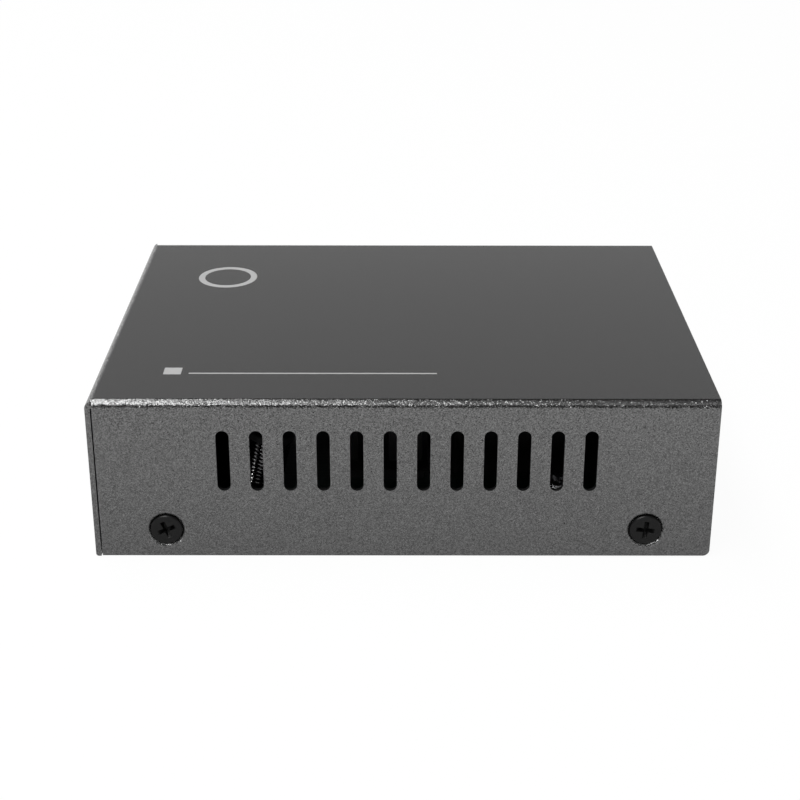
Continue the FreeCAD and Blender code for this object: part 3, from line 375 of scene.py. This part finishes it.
def powder_coat(name, calm_roof):
    """Sand-textured metallic coat; a roof flows out smoother and keeps this share of it."""
    material, tree, shader = start_material(name, COAT_ROUGHNESS, COAT_METAL)
    place = add(tree, "ShaderNodeTexCoord")
    hills = add(tree, "ShaderNodeTexNoise", {"Vector": place.outputs["Object"],
                "Scale": per_size(COAT_HILL), "Detail": 3.0, "Roughness": 0.6})
    grains = add(tree, "ShaderNodeTexVoronoi", {"Vector": place.outputs["Object"],
                 "Scale": per_size(COAT_GRAIN)})
    surface = add(tree, "ShaderNodeNewGeometry")
    facing = add(tree, "ShaderNodeSeparateXYZ", {0: surface.outputs["Normal"]})
    calm = add(tree, "ShaderNodeMapRange", {"Value": facing.outputs["Z"], "From Min": ROOF_FROM,
               "From Max": ROOF_TO, "To Min": 1.0, "To Max": calm_roof})
    lean = add(tree, "ShaderNodeVectorMath", {0: grains.outputs["Color"], 1: (MIDDLE,) * 3},
               operation="SUBTRACT")
    size = add(tree, "ShaderNodeVectorMath", {0: lean.outputs[0]}, operation="LENGTH")
    bold = add(tree, "ShaderNodeMath", {0: size.outputs["Value"], 1: BOLDNESS},
               operation="POWER")
    bold = add(tree, "ShaderNodeMath", {0: bold.outputs[0], 1: COAT_TILT}, operation="MULTIPLY")
    reach = add(tree, "ShaderNodeMath", {0: bold.outputs[0], 1: calm.outputs["Result"]},
                operation="MULTIPLY")
    lean = add(tree, "ShaderNodeVectorMath", {0: lean.outputs[0], "Scale": reach.outputs[0]},
               operation="SCALE")
    tilted = add(tree, "ShaderNodeVectorMath", {0: surface.outputs["Normal"],
                 1: lean.outputs[0]}, operation="ADD")
    tilted = add(tree, "ShaderNodeVectorMath", {0: tilted.outputs[0]}, operation="NORMALIZE")
    relief = add(tree, "ShaderNodeBump", {"Height": hills.outputs["Fac"],
                 "Strength": calm.outputs["Result"], "Distance": COAT_RELIEF * MM,
                 "Normal": tilted.outputs[0]})
    spread = add(tree, "ShaderNodeMapRange", {"Value": hills.outputs["Fac"],
                 "From Min": HILL_FROM, "From Max": HILL_TO, "To Min": -HILL_TONE,
                 "To Max": HILL_TONE})
    flake = add(tree, "ShaderNodeSeparateColor", {0: grains.outputs["Color"]})
    flecks = add(tree, "ShaderNodeMath", {0: flake.outputs["Red"], 1: MIDDLE},
                 operation="SUBTRACT")
    flecks = add(tree, "ShaderNodeMath", {0: flecks.outputs[0], 1: spread.outputs["Result"]},
                 operation="ADD")
    speck = add(tree, "ShaderNodeMath", {0: flecks.outputs[0],
                1: calm.outputs["Result"], 2: MIDDLE}, operation="MULTIPLY_ADD")
    tone = add(tree, "ShaderNodeMix", {"Factor": speck.outputs[0], "A": colour(COAT_DARK),
               "B": colour(COAT_LIGHT)}, data_type="RGBA")
    tree.links.new(relief.outputs["Normal"], shader.inputs["Normal"])
    print(name, "grains of", COAT_GRAIN, "mm")
    return material, tree, shader, place, tone.outputs["Result"]


# %% [markdown]
# Painted shade inside and printed places are found by where they are. A point's depth inside a
# box is the least of its distances to the six faces, and it is negative outside. Vector maths
# takes all six at once, and two more nodes pick the least. Half a millimetre under the outer
# faces, and on the cut walls of the slots, the colour is darkened to near black, a painted shade.

# %% Painted shade inside
# near black painted shade inside the case and on the slots' cut walls
INNER_SHADE = "0c0c0d"
DULL = 0.6                               # roughness of the shaded inner faces, ink and the shaded screw recesses
INNER_SHADE_FROM, INNER_SHADE_TO = 0.4, 0.5            # mm under the outer faces
SLOT_SHADE_FROM, SLOT_SHADE_TO = 0.03, 0.1             # mm into a slot
FAR_OFF = 1.0                            # m, stands for a side with no face


def depth_inside(tree, place, low, high):
    """How far a point lies inside a box in metres, below zero when it is outside."""
    past_low = add(tree, "ShaderNodeVectorMath", {0: place.outputs["Object"], 1: low},
                   operation="SUBTRACT")
    before_high = add(tree, "ShaderNodeVectorMath", {0: high, 1: place.outputs["Object"]},
                      operation="SUBTRACT")
    near = add(tree, "ShaderNodeVectorMath", {0: past_low.outputs[0],
               1: before_high.outputs[0]}, operation="MINIMUM")
    split = add(tree, "ShaderNodeSeparateXYZ", {0: near.outputs[0]})
    least = add(tree, "ShaderNodeMath", {0: split.outputs["X"], 1: split.outputs["Y"]},
                operation="MINIMUM")
    return add(tree, "ShaderNodeMath", {0: least.outputs[0], 1: split.outputs["Z"]},
               operation="MINIMUM").outputs[0]


def apply_inner_shade(tree, shader, tone, inner_shade, plain):
    """Put the tone on the shader: painted shade where inner_shade is 1, dull, no metal where
    plain is 1.
    """
    mixed = add(tree, "ShaderNodeMix", {"Factor": inner_shade, "A": tone, "B": colour(INNER_SHADE)},
                data_type="RGBA")
    metal = add(tree, "ShaderNodeMapRange", {"Value": plain, "To Min": COAT_METAL,
                "To Max": 0.0})
    gloss = add(tree, "ShaderNodeMapRange", {"Value": plain, "To Min": COAT_ROUGHNESS,
                "To Max": DULL})
    tree.links.new(mixed.outputs["Result"], shader.inputs["Base Color"])
    tree.links.new(metal.outputs["Result"], shader.inputs["Metallic"])
    tree.links.new(gloss.outputs["Result"], shader.inputs["Roughness"])


# %% [markdown]
# The tray wears the coat on its underside and its front panel. The inner faces could be picked
# and given a second material, but a mask by depth needs no picking: what lies further in than
# half a millimetre under those two faces is darkened to near black, a painted shade.

# %% Tray
TRAY_CALM = 0.3          # share of the texture on the faces that point up
(_, _, floor_z), (front_x, _, _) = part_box("base_tray")
tray_coat, tree, shader, place, tone = powder_coat("powder_coated_steel_tray", TRAY_CALM)
deep = depth_inside(tree, place, (-FAR_OFF, -FAR_OFF, floor_z), (front_x, FAR_OFF, FAR_OFF))
inner_shade = add(tree, "ShaderNodeMapRange", {"Value": deep, "From Min": INNER_SHADE_FROM * MM,
           "From Max": INNER_SHADE_TO * MM})
apply_inner_shade(tree, shader, tone, inner_shade.outputs["Result"], inner_shade.outputs["Result"])
coat(tray_coat, "base_tray")

# %% [markdown]
# The cover wears it on the roof, the sides and the rear wall. The box round its slots is as
# wide as the case, so inside it only the slots' cut walls and the inner faces get the painted
# shade.

# %% Cover
COVER_CALM = 0.05                        # share of the texture on the roof
SLOTS_X = (-30.0, 31.0)                  # mm, a little more than the row of slots
SLOTS_Z = (10.0, 23.0)
(rear_x, right_y, _), (_, left_y, roof_z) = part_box("top_cover")
cover_coat, tree, shader, place, tone = powder_coat("powder_coated_steel_cover", COVER_CALM)
deep = depth_inside(tree, place, (rear_x, right_y, -FAR_OFF), (FAR_OFF, left_y, roof_z))
inner_shade = add(tree, "ShaderNodeMapRange", {"Value": deep, "From Min": INNER_SHADE_FROM * MM,
           "From Max": INNER_SHADE_TO * MM})
# the slots' cut walls get the same near black painted shade
slots = depth_inside(tree, place, (SLOTS_X[0] * MM, right_y, SLOTS_Z[0] * MM),
                     (SLOTS_X[1] * MM, left_y, SLOTS_Z[1] * MM))
slot_shade = add(tree, "ShaderNodeMapRange", {"Value": slots, "From Min": SLOT_SHADE_FROM * MM,
          "From Max": SLOT_SHADE_TO * MM})
inner_shade = add(tree, "ShaderNodeMath", {0: inner_shade.outputs["Result"], 1: slot_shade.outputs["Result"]},
           operation="MAXIMUM")
coat(cover_coat, "top_cover")

# %% [markdown]
# The roof carries a light grey screen print: a small block with a thin rule beside it, and a
# plain ring further back. Ink is a film a few microns thick, so it is drawn in the coat's own
# graph: a mask is 1 inside each printed shape and 0 outside. The bars are thin boxes through
# the roof, and the ring is a distance from its middle compared with its radius. Ink has no
# metal in it, so it scatters light evenly where the coat beside it mirrors.

# %% Screen print on the roof
BLOCK = (-35.35, -24.05, 1.35, 1.25)     # mm: middle x and y, half length, half width
RULE = (-13.8, -24.9, 19.0, 0.2)
RING = (-31.0, 17.0, 4.6, 0.55)          # mm: middle x and y, middle radius, half width
INK_EDGE = 0.04                          # mm, softness of the ink's edge
INK_DEEP = 0.1                           # mm under the roof, where the ink surely ends
INK = "aaaaaa"
centre = Vector((RING[0] * MM, RING[1] * MM, roof_z))
reach = add(tree, "ShaderNodeVectorMath", {0: place.outputs["Object"], 1: centre},
            operation="DISTANCE")
off_ring = add(tree, "ShaderNodeMath", {0: reach.outputs["Value"], 1: RING[2] * MM},
               operation="SUBTRACT")
off_ring = add(tree, "ShaderNodeMath", {0: off_ring.outputs[0]}, operation="ABSOLUTE")
inside = [add(tree, "ShaderNodeMath", {0: RING[3] * MM, 1: off_ring.outputs[0]},
              operation="SUBTRACT").outputs[0]]
for x, y, half_x, half_y in (BLOCK, RULE):
    low = ((x - half_x) * MM, (y - half_y) * MM, roof_z - INK_DEEP * MM)
    high = ((x + half_x) * MM, (y + half_y) * MM, roof_z + FAR_OFF)
    inside.append(depth_inside(tree, place, low, high))
ink = 0.0
for depth in inside:
    shape = add(tree, "ShaderNodeMapRange", {"Value": depth, "From Min": -INK_EDGE * MM,
                "From Max": INK_EDGE * MM})
    ink = add(tree, "ShaderNodeMath", {0: shape.outputs["Result"], 1: ink},
              operation="MAXIMUM").outputs[0]
inked = add(tree, "ShaderNodeMix", {"Factor": ink, "A": tone, "B": colour(INK)},
            data_type="RGBA")
plain = add(tree, "ShaderNodeMath", {0: inner_shade.outputs[0], 1: ink}, operation="MAXIMUM")
apply_inner_shade(tree, shader, inked.outputs["Result"], inner_shade.outputs[0], plain.outputs[0])
print("printed shapes:", len(inside), "on the roof at z", round(roof_z, 4))

# %% [markdown]
# Most other parts are moulded, plated or sintered, and each has a fine grain of its own. They
# share one recipe: noise at a real grain size gives a little change of tone and roughness and
# a little relief. Colour, gloss, grain and relief are what tell them apart.


# %% Fine-grained finishes
SMOOTHEST = 0.02         # least roughness


def grained(name, dark, light, grain_mm, relief_mm, roughness, metallic=0.0, spread=0.06,
            **sockets):
    """Finish with a fine grain in its tone, gloss and relief; sockets are set on the shader."""
    material, tree, shader = start_material(name, roughness, metallic)
    place = add(tree, "ShaderNodeTexCoord")
    grain = add(tree, "ShaderNodeTexNoise", {"Vector": place.outputs["Object"],
                "Scale": per_size(grain_mm), "Detail": 4.0})
    tone = add(tree, "ShaderNodeMix", {"Factor": grain.outputs["Fac"], "A": colour(dark),
               "B": colour(light)}, data_type="RGBA")
    gloss = add(tree, "ShaderNodeMapRange", {"Value": grain.outputs["Fac"],
                "To Min": max(roughness - spread, SMOOTHEST), "To Max": roughness + spread})
    relief = add(tree, "ShaderNodeBump", {"Height": grain.outputs["Fac"], "Strength": 1.0,
                 "Distance": relief_mm * MM})
    tree.links.new(tone.outputs["Result"], shader.inputs["Base Color"])
    tree.links.new(gloss.outputs["Result"], shader.inputs["Roughness"])
    tree.links.new(relief.outputs["Normal"], shader.inputs["Normal"])
    for key, value in sockets.items():
        shader.inputs[key.replace("_", " ")].default_value = value
    return material


# %% [markdown]
# The case screws are steel with a black coating, smooth enough to show the lamps as small
# glints. A glint needs a rounded edge, and the solids have sharp ones. A copy of their mesh is
# merged, its flat triangles become whole faces again, every sharp edge is rounded by a few
# hundredths of a millimetre, as plating rounds it, and slivers are taken out.

# %% Case screws
EDGE_ROUND = 0.05        # mm
WELD = 0.001             # mm, points nearer than this become one
SLIVER = 0.002           # mm, edges shorter than this go
FLAT = math.radians(0.5)                 # faces that turn less than this are one face
SHARP = math.radians(35)                 # edges that turn more than this are sharp
bpy.ops.object.select_all(action="DESELECT")
bpy.context.view_layer.objects.active = nodes["case_screws"]
nodes["case_screws"].select_set(True)
bpy.ops.object.duplicate()
screws = bpy.context.object
screws.name = "rounded_case_screws"
bpy.ops.object.mode_set(mode="EDIT")
bpy.ops.mesh.select_all(action="SELECT")
bpy.ops.mesh.remove_doubles(threshold=WELD * MM)
bpy.ops.mesh.dissolve_limited(angle_limit=FLAT)
bpy.ops.mesh.select_all(action="DESELECT")
bpy.ops.mesh.edges_select_sharp(sharpness=SHARP)
bpy.ops.mesh.bevel(offset=EDGE_ROUND * MM, segments=2, clamp_overlap=True)
bpy.ops.mesh.select_all(action="SELECT")
bpy.ops.mesh.dissolve_degenerate(threshold=SLIVER * MM)
bpy.ops.object.mode_set(mode="OBJECT")
bpy.ops.object.shade_smooth_by_angle(angle=SHARP)
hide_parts("case_screws")
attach(screws, "converter")
print("case screws:", len(screws.data.polygons), "faces")

# %% [markdown]
# Below the flat of the head, in the cross recess and down the rim, the colour is darkened to
# near black as painted shade, and the coating is made duller. How far a point lies from the
# middle of the case tells the flat from what is below it.

# %% Screw coating
SHADE_BELOW_FROM, SHADE_BELOW_TO = 0.1, 0.25           # mm under the flat of the heads
# near black painted shade below the flat of the screw heads
SCREW_SHADE = "020202"
black_coating = grained("black_coated_steel", "070707", "0e0e0e", 0.35, 0.002, 0.36,
                        Specular_IOR_Level=0.28)
tree = black_coating.node_tree
shader = tree.nodes["Principled BSDF"]
flat_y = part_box("case_screws")[1].y
place = add(tree, "ShaderNodeTexCoord")
out = add(tree, "ShaderNodeVectorMath", {0: place.outputs["Object"]}, operation="ABSOLUTE")
split = add(tree, "ShaderNodeSeparateXYZ", {0: out.outputs[0]})
shade_below_flat = add(tree, "ShaderNodeMapRange", {"Value": split.outputs["Y"],
           "From Min": flat_y - SHADE_BELOW_TO * MM, "From Max": flat_y - SHADE_BELOW_FROM * MM,
           "To Min": 1.0, "To Max": 0.0})
head_tone = shader.inputs["Base Color"].links[0].from_socket
head_gloss = shader.inputs["Roughness"].links[0].from_socket
tone = add(tree, "ShaderNodeMix", {"Factor": shade_below_flat.outputs["Result"], "A": head_tone,
           "B": colour(SCREW_SHADE)}, data_type="RGBA")
gloss = add(tree, "ShaderNodeMix", {"Factor": shade_below_flat.outputs["Result"], "A": head_gloss,
            "B": DULL})
tree.links.new(tone.outputs["Result"], shader.inputs["Base Color"])
tree.links.new(gloss.outputs["Result"], shader.inputs["Roughness"])
coat(black_coating, "case_screws")
fill_slots(screws, black_coating)

# %% [markdown]
# The board screws and standoffs inside have the usual bright zinc. It is a thin skin of metal on
# steel, so it is all metallic, a pale bluish grey, and only a little dulled by its crystals.

# %% Board screws and standoffs
bright_zinc = grained("bright_zinc_plated_steel", "a9abad", "c9cacb", 0.6, 0.002, 0.28, 1.0)
coat(bright_zinc, "board_screws", "board_standoffs")

# %% [markdown]
# Connectors are moulded from black nylon filled with glass fibre, whose ends leave a fine matt
# skin, so the grain is about as wide as a fibre bundle. The sleeves inside the fibre port are
# polished zirconia, an off-white ceramic, and the option switch is smooth thermoplastic.

# %% Connector mouldings
black_nylon = grained("glass_filled_black_nylon", "111111", "1b1b1b", 0.12, 0.006, 0.5)
coat(black_nylon, "fibre_module_housing", "rj45_insulator", "dc_jack_housing", "lamp_holder_1",
     "lamp_holder_2")
coat(grained("polished_zirconia", "e6e2d6", "efece2", 0.8, 0.0005, 0.16),
     "fibre_sleeve_transmit", "fibre_sleeve_receive")
coat(grained("moulded_blue_thermoplastic", "173a73", "1f4685", 0.15, 0.004, 0.45),
     "dip_switch_body")
coat(grained("moulded_white_thermoplastic", "d9d9d4", "e6e6e1", 0.15, 0.004, 0.42),
     *[f"dip_slider_{i + 1}" for i in range(4)])

# %% [markdown]
# Shields, pins and cans are thin metal with a plating, so each has its metal's own tint and a
# low roughness. Contacts get a flash of gold, because gold doesn't rust.

# %% Plated metals
coat(grained("nickel_plated_shield_steel", "b3b0a8", "cbc8c0", 0.5, 0.001, 0.3, 1.0),
     "rj45_shield")
coat(grained("gold_flashed_contact_bronze", "c79a4a", "e0b765", 0.3, 0.001, 0.25, 1.0),
     "rj45_contacts")
coat(grained("polished_nickel_pin", "bdbab4", "d2d0ca", 0.8, 0.0005, 0.18, 1.0), "dc_jack_pin")
tinned = grained("tinned_brass_leads", "a8a8a4", "c2c2be", 0.25, 0.003, 0.35, 1.0)
coat(tinned, "fibre_module_pins", "dc_jack_terminals", "dip_switch_terminals", "inductor_leads")
coat(grained("drawn_nickel_silver_can", "b6b3aa", "cfccc4", 0.7, 0.001, 0.2, 1.0), "crystal_can")
coat(grained("black_anodised_aluminium", "141416", "202022", 0.08, 0.004, 0.4, 0.6), "heat_sink")

# %% [markdown]
# The parts on the board: black epoxy packages, sintered ferrite, taped windings and a soft
# grey pad under the heat sink. Ferrite is pressed powder baked hard, so it is dull and pitted.

# %% Parts on the board
epoxy = grained("moulded_black_epoxy", "151515", "222222", 0.1, 0.006, 0.55)
coat(epoxy, "main_chip", "power_controller_chip", "rectifier", "network_magnetics")
coat(grained("sintered_ferrite", "0b0b0c", "121213", 0.3, 0.01, 0.65), "inductor_core",
     "transformer_core")
coat(grained("yellow_polyester_tape", "c79a22", "dcb13a", 1.5, 0.003, 0.3), "transformer_bobbin")
coat(grained("grey_silicone_pad", "8b9098", "9aa0a8", 0.3, 0.006, 0.75), "thermal_pad")
lamp_epoxy = grained("green_diffused_lamp_epoxy", "7fbf86", "9ad6a0", 0.4, 0.001, 0.22,
                     spread=0.04, Transmission_Weight=0.25, Subsurface_Weight=0.2)
coat(lamp_epoxy, "lamp_power", "lamp_power_over_ethernet", "lamp_fibre_link",
     "lamp_copper_link")

# %% [markdown]
# The choke's winding shows through a slot. It is one enamelled copper wire wound in close turns
# on a ferrite drum that leans a little. A screw modifier makes it as the winding machine does:
# the wire's round section starts at the drum's side and goes round while it climbs one wire a
# turn. The turns then lean with the drum and move to its place, and both cut ends are closed.

# %% Winding
DRUM_LEAN = 12.0         # degrees towards the front panel
TURNS = 12
STEPS = 40               # pieces in one turn
WIRE_SIDES = 12          # sides of the wire's round section
WIRE_FILL = 0.98         # share of a turn's height that the wire fills
CUT_EDGE = math.radians(60)              # the edges of the wire's ends stay sharp
low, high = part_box("inductor_winding")
lean = math.radians(DRUM_LEAN)
outer = (high.y - low.y) / 2
length = (high.z - low.z - 2 * outer * math.sin(lean)) / math.cos(lean)
pitch_of_wire = length / TURNS
wire = pitch_of_wire / 2 * WIRE_FILL
bpy.ops.object.select_all(action="DESELECT")
bpy.ops.mesh.primitive_circle_add(vertices=WIRE_SIDES, radius=wire, fill_type="NOTHING",
                                  location=(outer - wire, 0, wire - length / 2),
                                  rotation=(math.pi / 2, 0, 0))
winding = bpy.context.object
winding.name = "wound_wire"
bpy.ops.object.transform_apply(location=True, rotation=True, scale=True)
climb = winding.modifiers.new("climb", "SCREW")
climb.axis = "Z"
climb.angle = 2 * math.pi
climb.screw_offset = pitch_of_wire
climb.iterations = TURNS
climb.steps = climb.render_steps = STEPS
climb.use_merge_vertices = True
bpy.ops.object.modifier_apply(modifier="climb")
winding.data.transform(Matrix.Translation((low + high) / 2) @ Matrix.Rotation(lean, 4, "Y"))
bpy.ops.object.mode_set(mode="EDIT")
bpy.ops.mesh.select_all(action="SELECT")
bpy.ops.mesh.fill_holes(sides=0)
bpy.ops.mesh.normals_make_consistent(inside=False)
bpy.ops.object.mode_set(mode="OBJECT")
bpy.ops.object.shade_smooth_by_angle(angle=CUT_EDGE)
enamel = grained("enamelled_copper_wire", "8a8a8a", "9e9e9e", 0.4, 0.001, 0.12, 1.0)
fill_slots(winding, enamel)
coat(enamel, "inductor_winding")
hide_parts("inductor_winding")
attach(winding, "converter")
print("turns of wire:", TURNS, "wire radius mm:", round(wire / MM, 3),
      "faces:", len(winding.data.polygons))

# %% [markdown]
# A can capacitor wears a shrink sleeve down its side, and its bare aluminium lid shows on top.
# They could be two materials on two sets of faces. One graph does for both instead, as height
# picks the lid, and the sleeve is the rest.

# %% Capacitor cans
LID_FROM, LID_TO = 0.45, 0.4             # mm under the top, where the sleeve ends
SLEEVE_GRAIN = 0.4                       # mm
SLEEVE_RELIEF = 0.003                    # mm


def sleeved_can(name):
    """Give one can its sleeve and lid."""
    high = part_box(name)[1]
    material, tree, shader = start_material("shrink_sleeved_aluminium_" + name, roughness=0.35)
    place = add(tree, "ShaderNodeTexCoord")
    split = add(tree, "ShaderNodeSeparateXYZ", {0: place.outputs["Object"]})
    lid = add(tree, "ShaderNodeMapRange", {"Value": split.outputs["Z"],
              "From Min": high.z - LID_FROM * MM, "From Max": high.z - LID_TO * MM})
    grain = add(tree, "ShaderNodeTexNoise", {"Vector": place.outputs["Object"],
                "Scale": per_size(SLEEVE_GRAIN), "Detail": 3.0})
    sleeve = add(tree, "ShaderNodeMix", {"Factor": grain.outputs["Fac"], "A": colour("15161c"),
                 "B": colour("20222a")}, data_type="RGBA")
    tone = add(tree, "ShaderNodeMix", {"Factor": lid.outputs["Result"],
               "A": sleeve.outputs["Result"], "B": colour("bfc1c3")}, data_type="RGBA")
    relief = add(tree, "ShaderNodeBump", {"Height": grain.outputs["Fac"], "Strength": 1.0,
                 "Distance": SLEEVE_RELIEF * MM})
    tree.links.new(tone.outputs["Result"], shader.inputs["Base Color"])
    tree.links.new(lid.outputs["Result"], shader.inputs["Metallic"])
    tree.links.new(relief.outputs["Normal"], shader.inputs["Normal"])
    coat(material, name)


for can in ("input_capacitor", "output_capacitor"):
    sleeved_can(can)

# %% [markdown]
# The circuit board is glass-cloth laminate under a green solder mask. Copper tracks lie under
# the mask and show as slightly lighter, raised lines. The joints of a brick pattern stand for
# them, at a real pitch of about a millimetre, and fine noise makes the lines a little uneven,
# as the glass cloth under them does.

# %% Circuit board
TRACK_LONG, TRACK_PITCH = 4.2, 1.1       # mm between tracks, along and across
TRACK_HALF = 0.12        # mm, half the width of a track
TRACK_SOFT = 0.2         # softness of the tracks' edges
TRACK_RELIEF = 0.02      # mm
WEAVE = 0.5              # mm, width of the glass cloth's hills
MASK_LEVEL = 0.2         # height of the plain mask between the tracks
board_finish, tree, shader = start_material("solder_masked_glass_laminate", roughness=0.3)
place = add(tree, "ShaderNodeTexCoord")
tracks = add(tree, "ShaderNodeTexBrick", {"Vector": place.outputs["Object"],
             "Scale": 1.0, "Mortar Size": TRACK_HALF * MM, "Mortar Smooth": TRACK_SOFT,
             "Brick Width": TRACK_LONG * MM, "Row Height": TRACK_PITCH * MM})
weave = add(tree, "ShaderNodeTexNoise", {"Vector": place.outputs["Object"],
            "Scale": per_size(WEAVE), "Detail": 2.0})
tone = add(tree, "ShaderNodeMix", {"Factor": tracks.outputs["Fac"], "A": colour("0a1510"),
           "B": colour("10221a")}, data_type="RGBA")
height = add(tree, "ShaderNodeMath", {0: tracks.outputs["Fac"], 1: weave.outputs["Fac"],
             2: MASK_LEVEL}, operation="MULTIPLY_ADD")
relief = add(tree, "ShaderNodeBump", {"Height": height.outputs[0], "Strength": 1.0,
             "Distance": TRACK_RELIEF * MM})
tree.links.new(tone.outputs["Result"], shader.inputs["Base Color"])
tree.links.new(relief.outputs["Normal"], shader.inputs["Normal"])
coat(board_finish, "circuit_board")
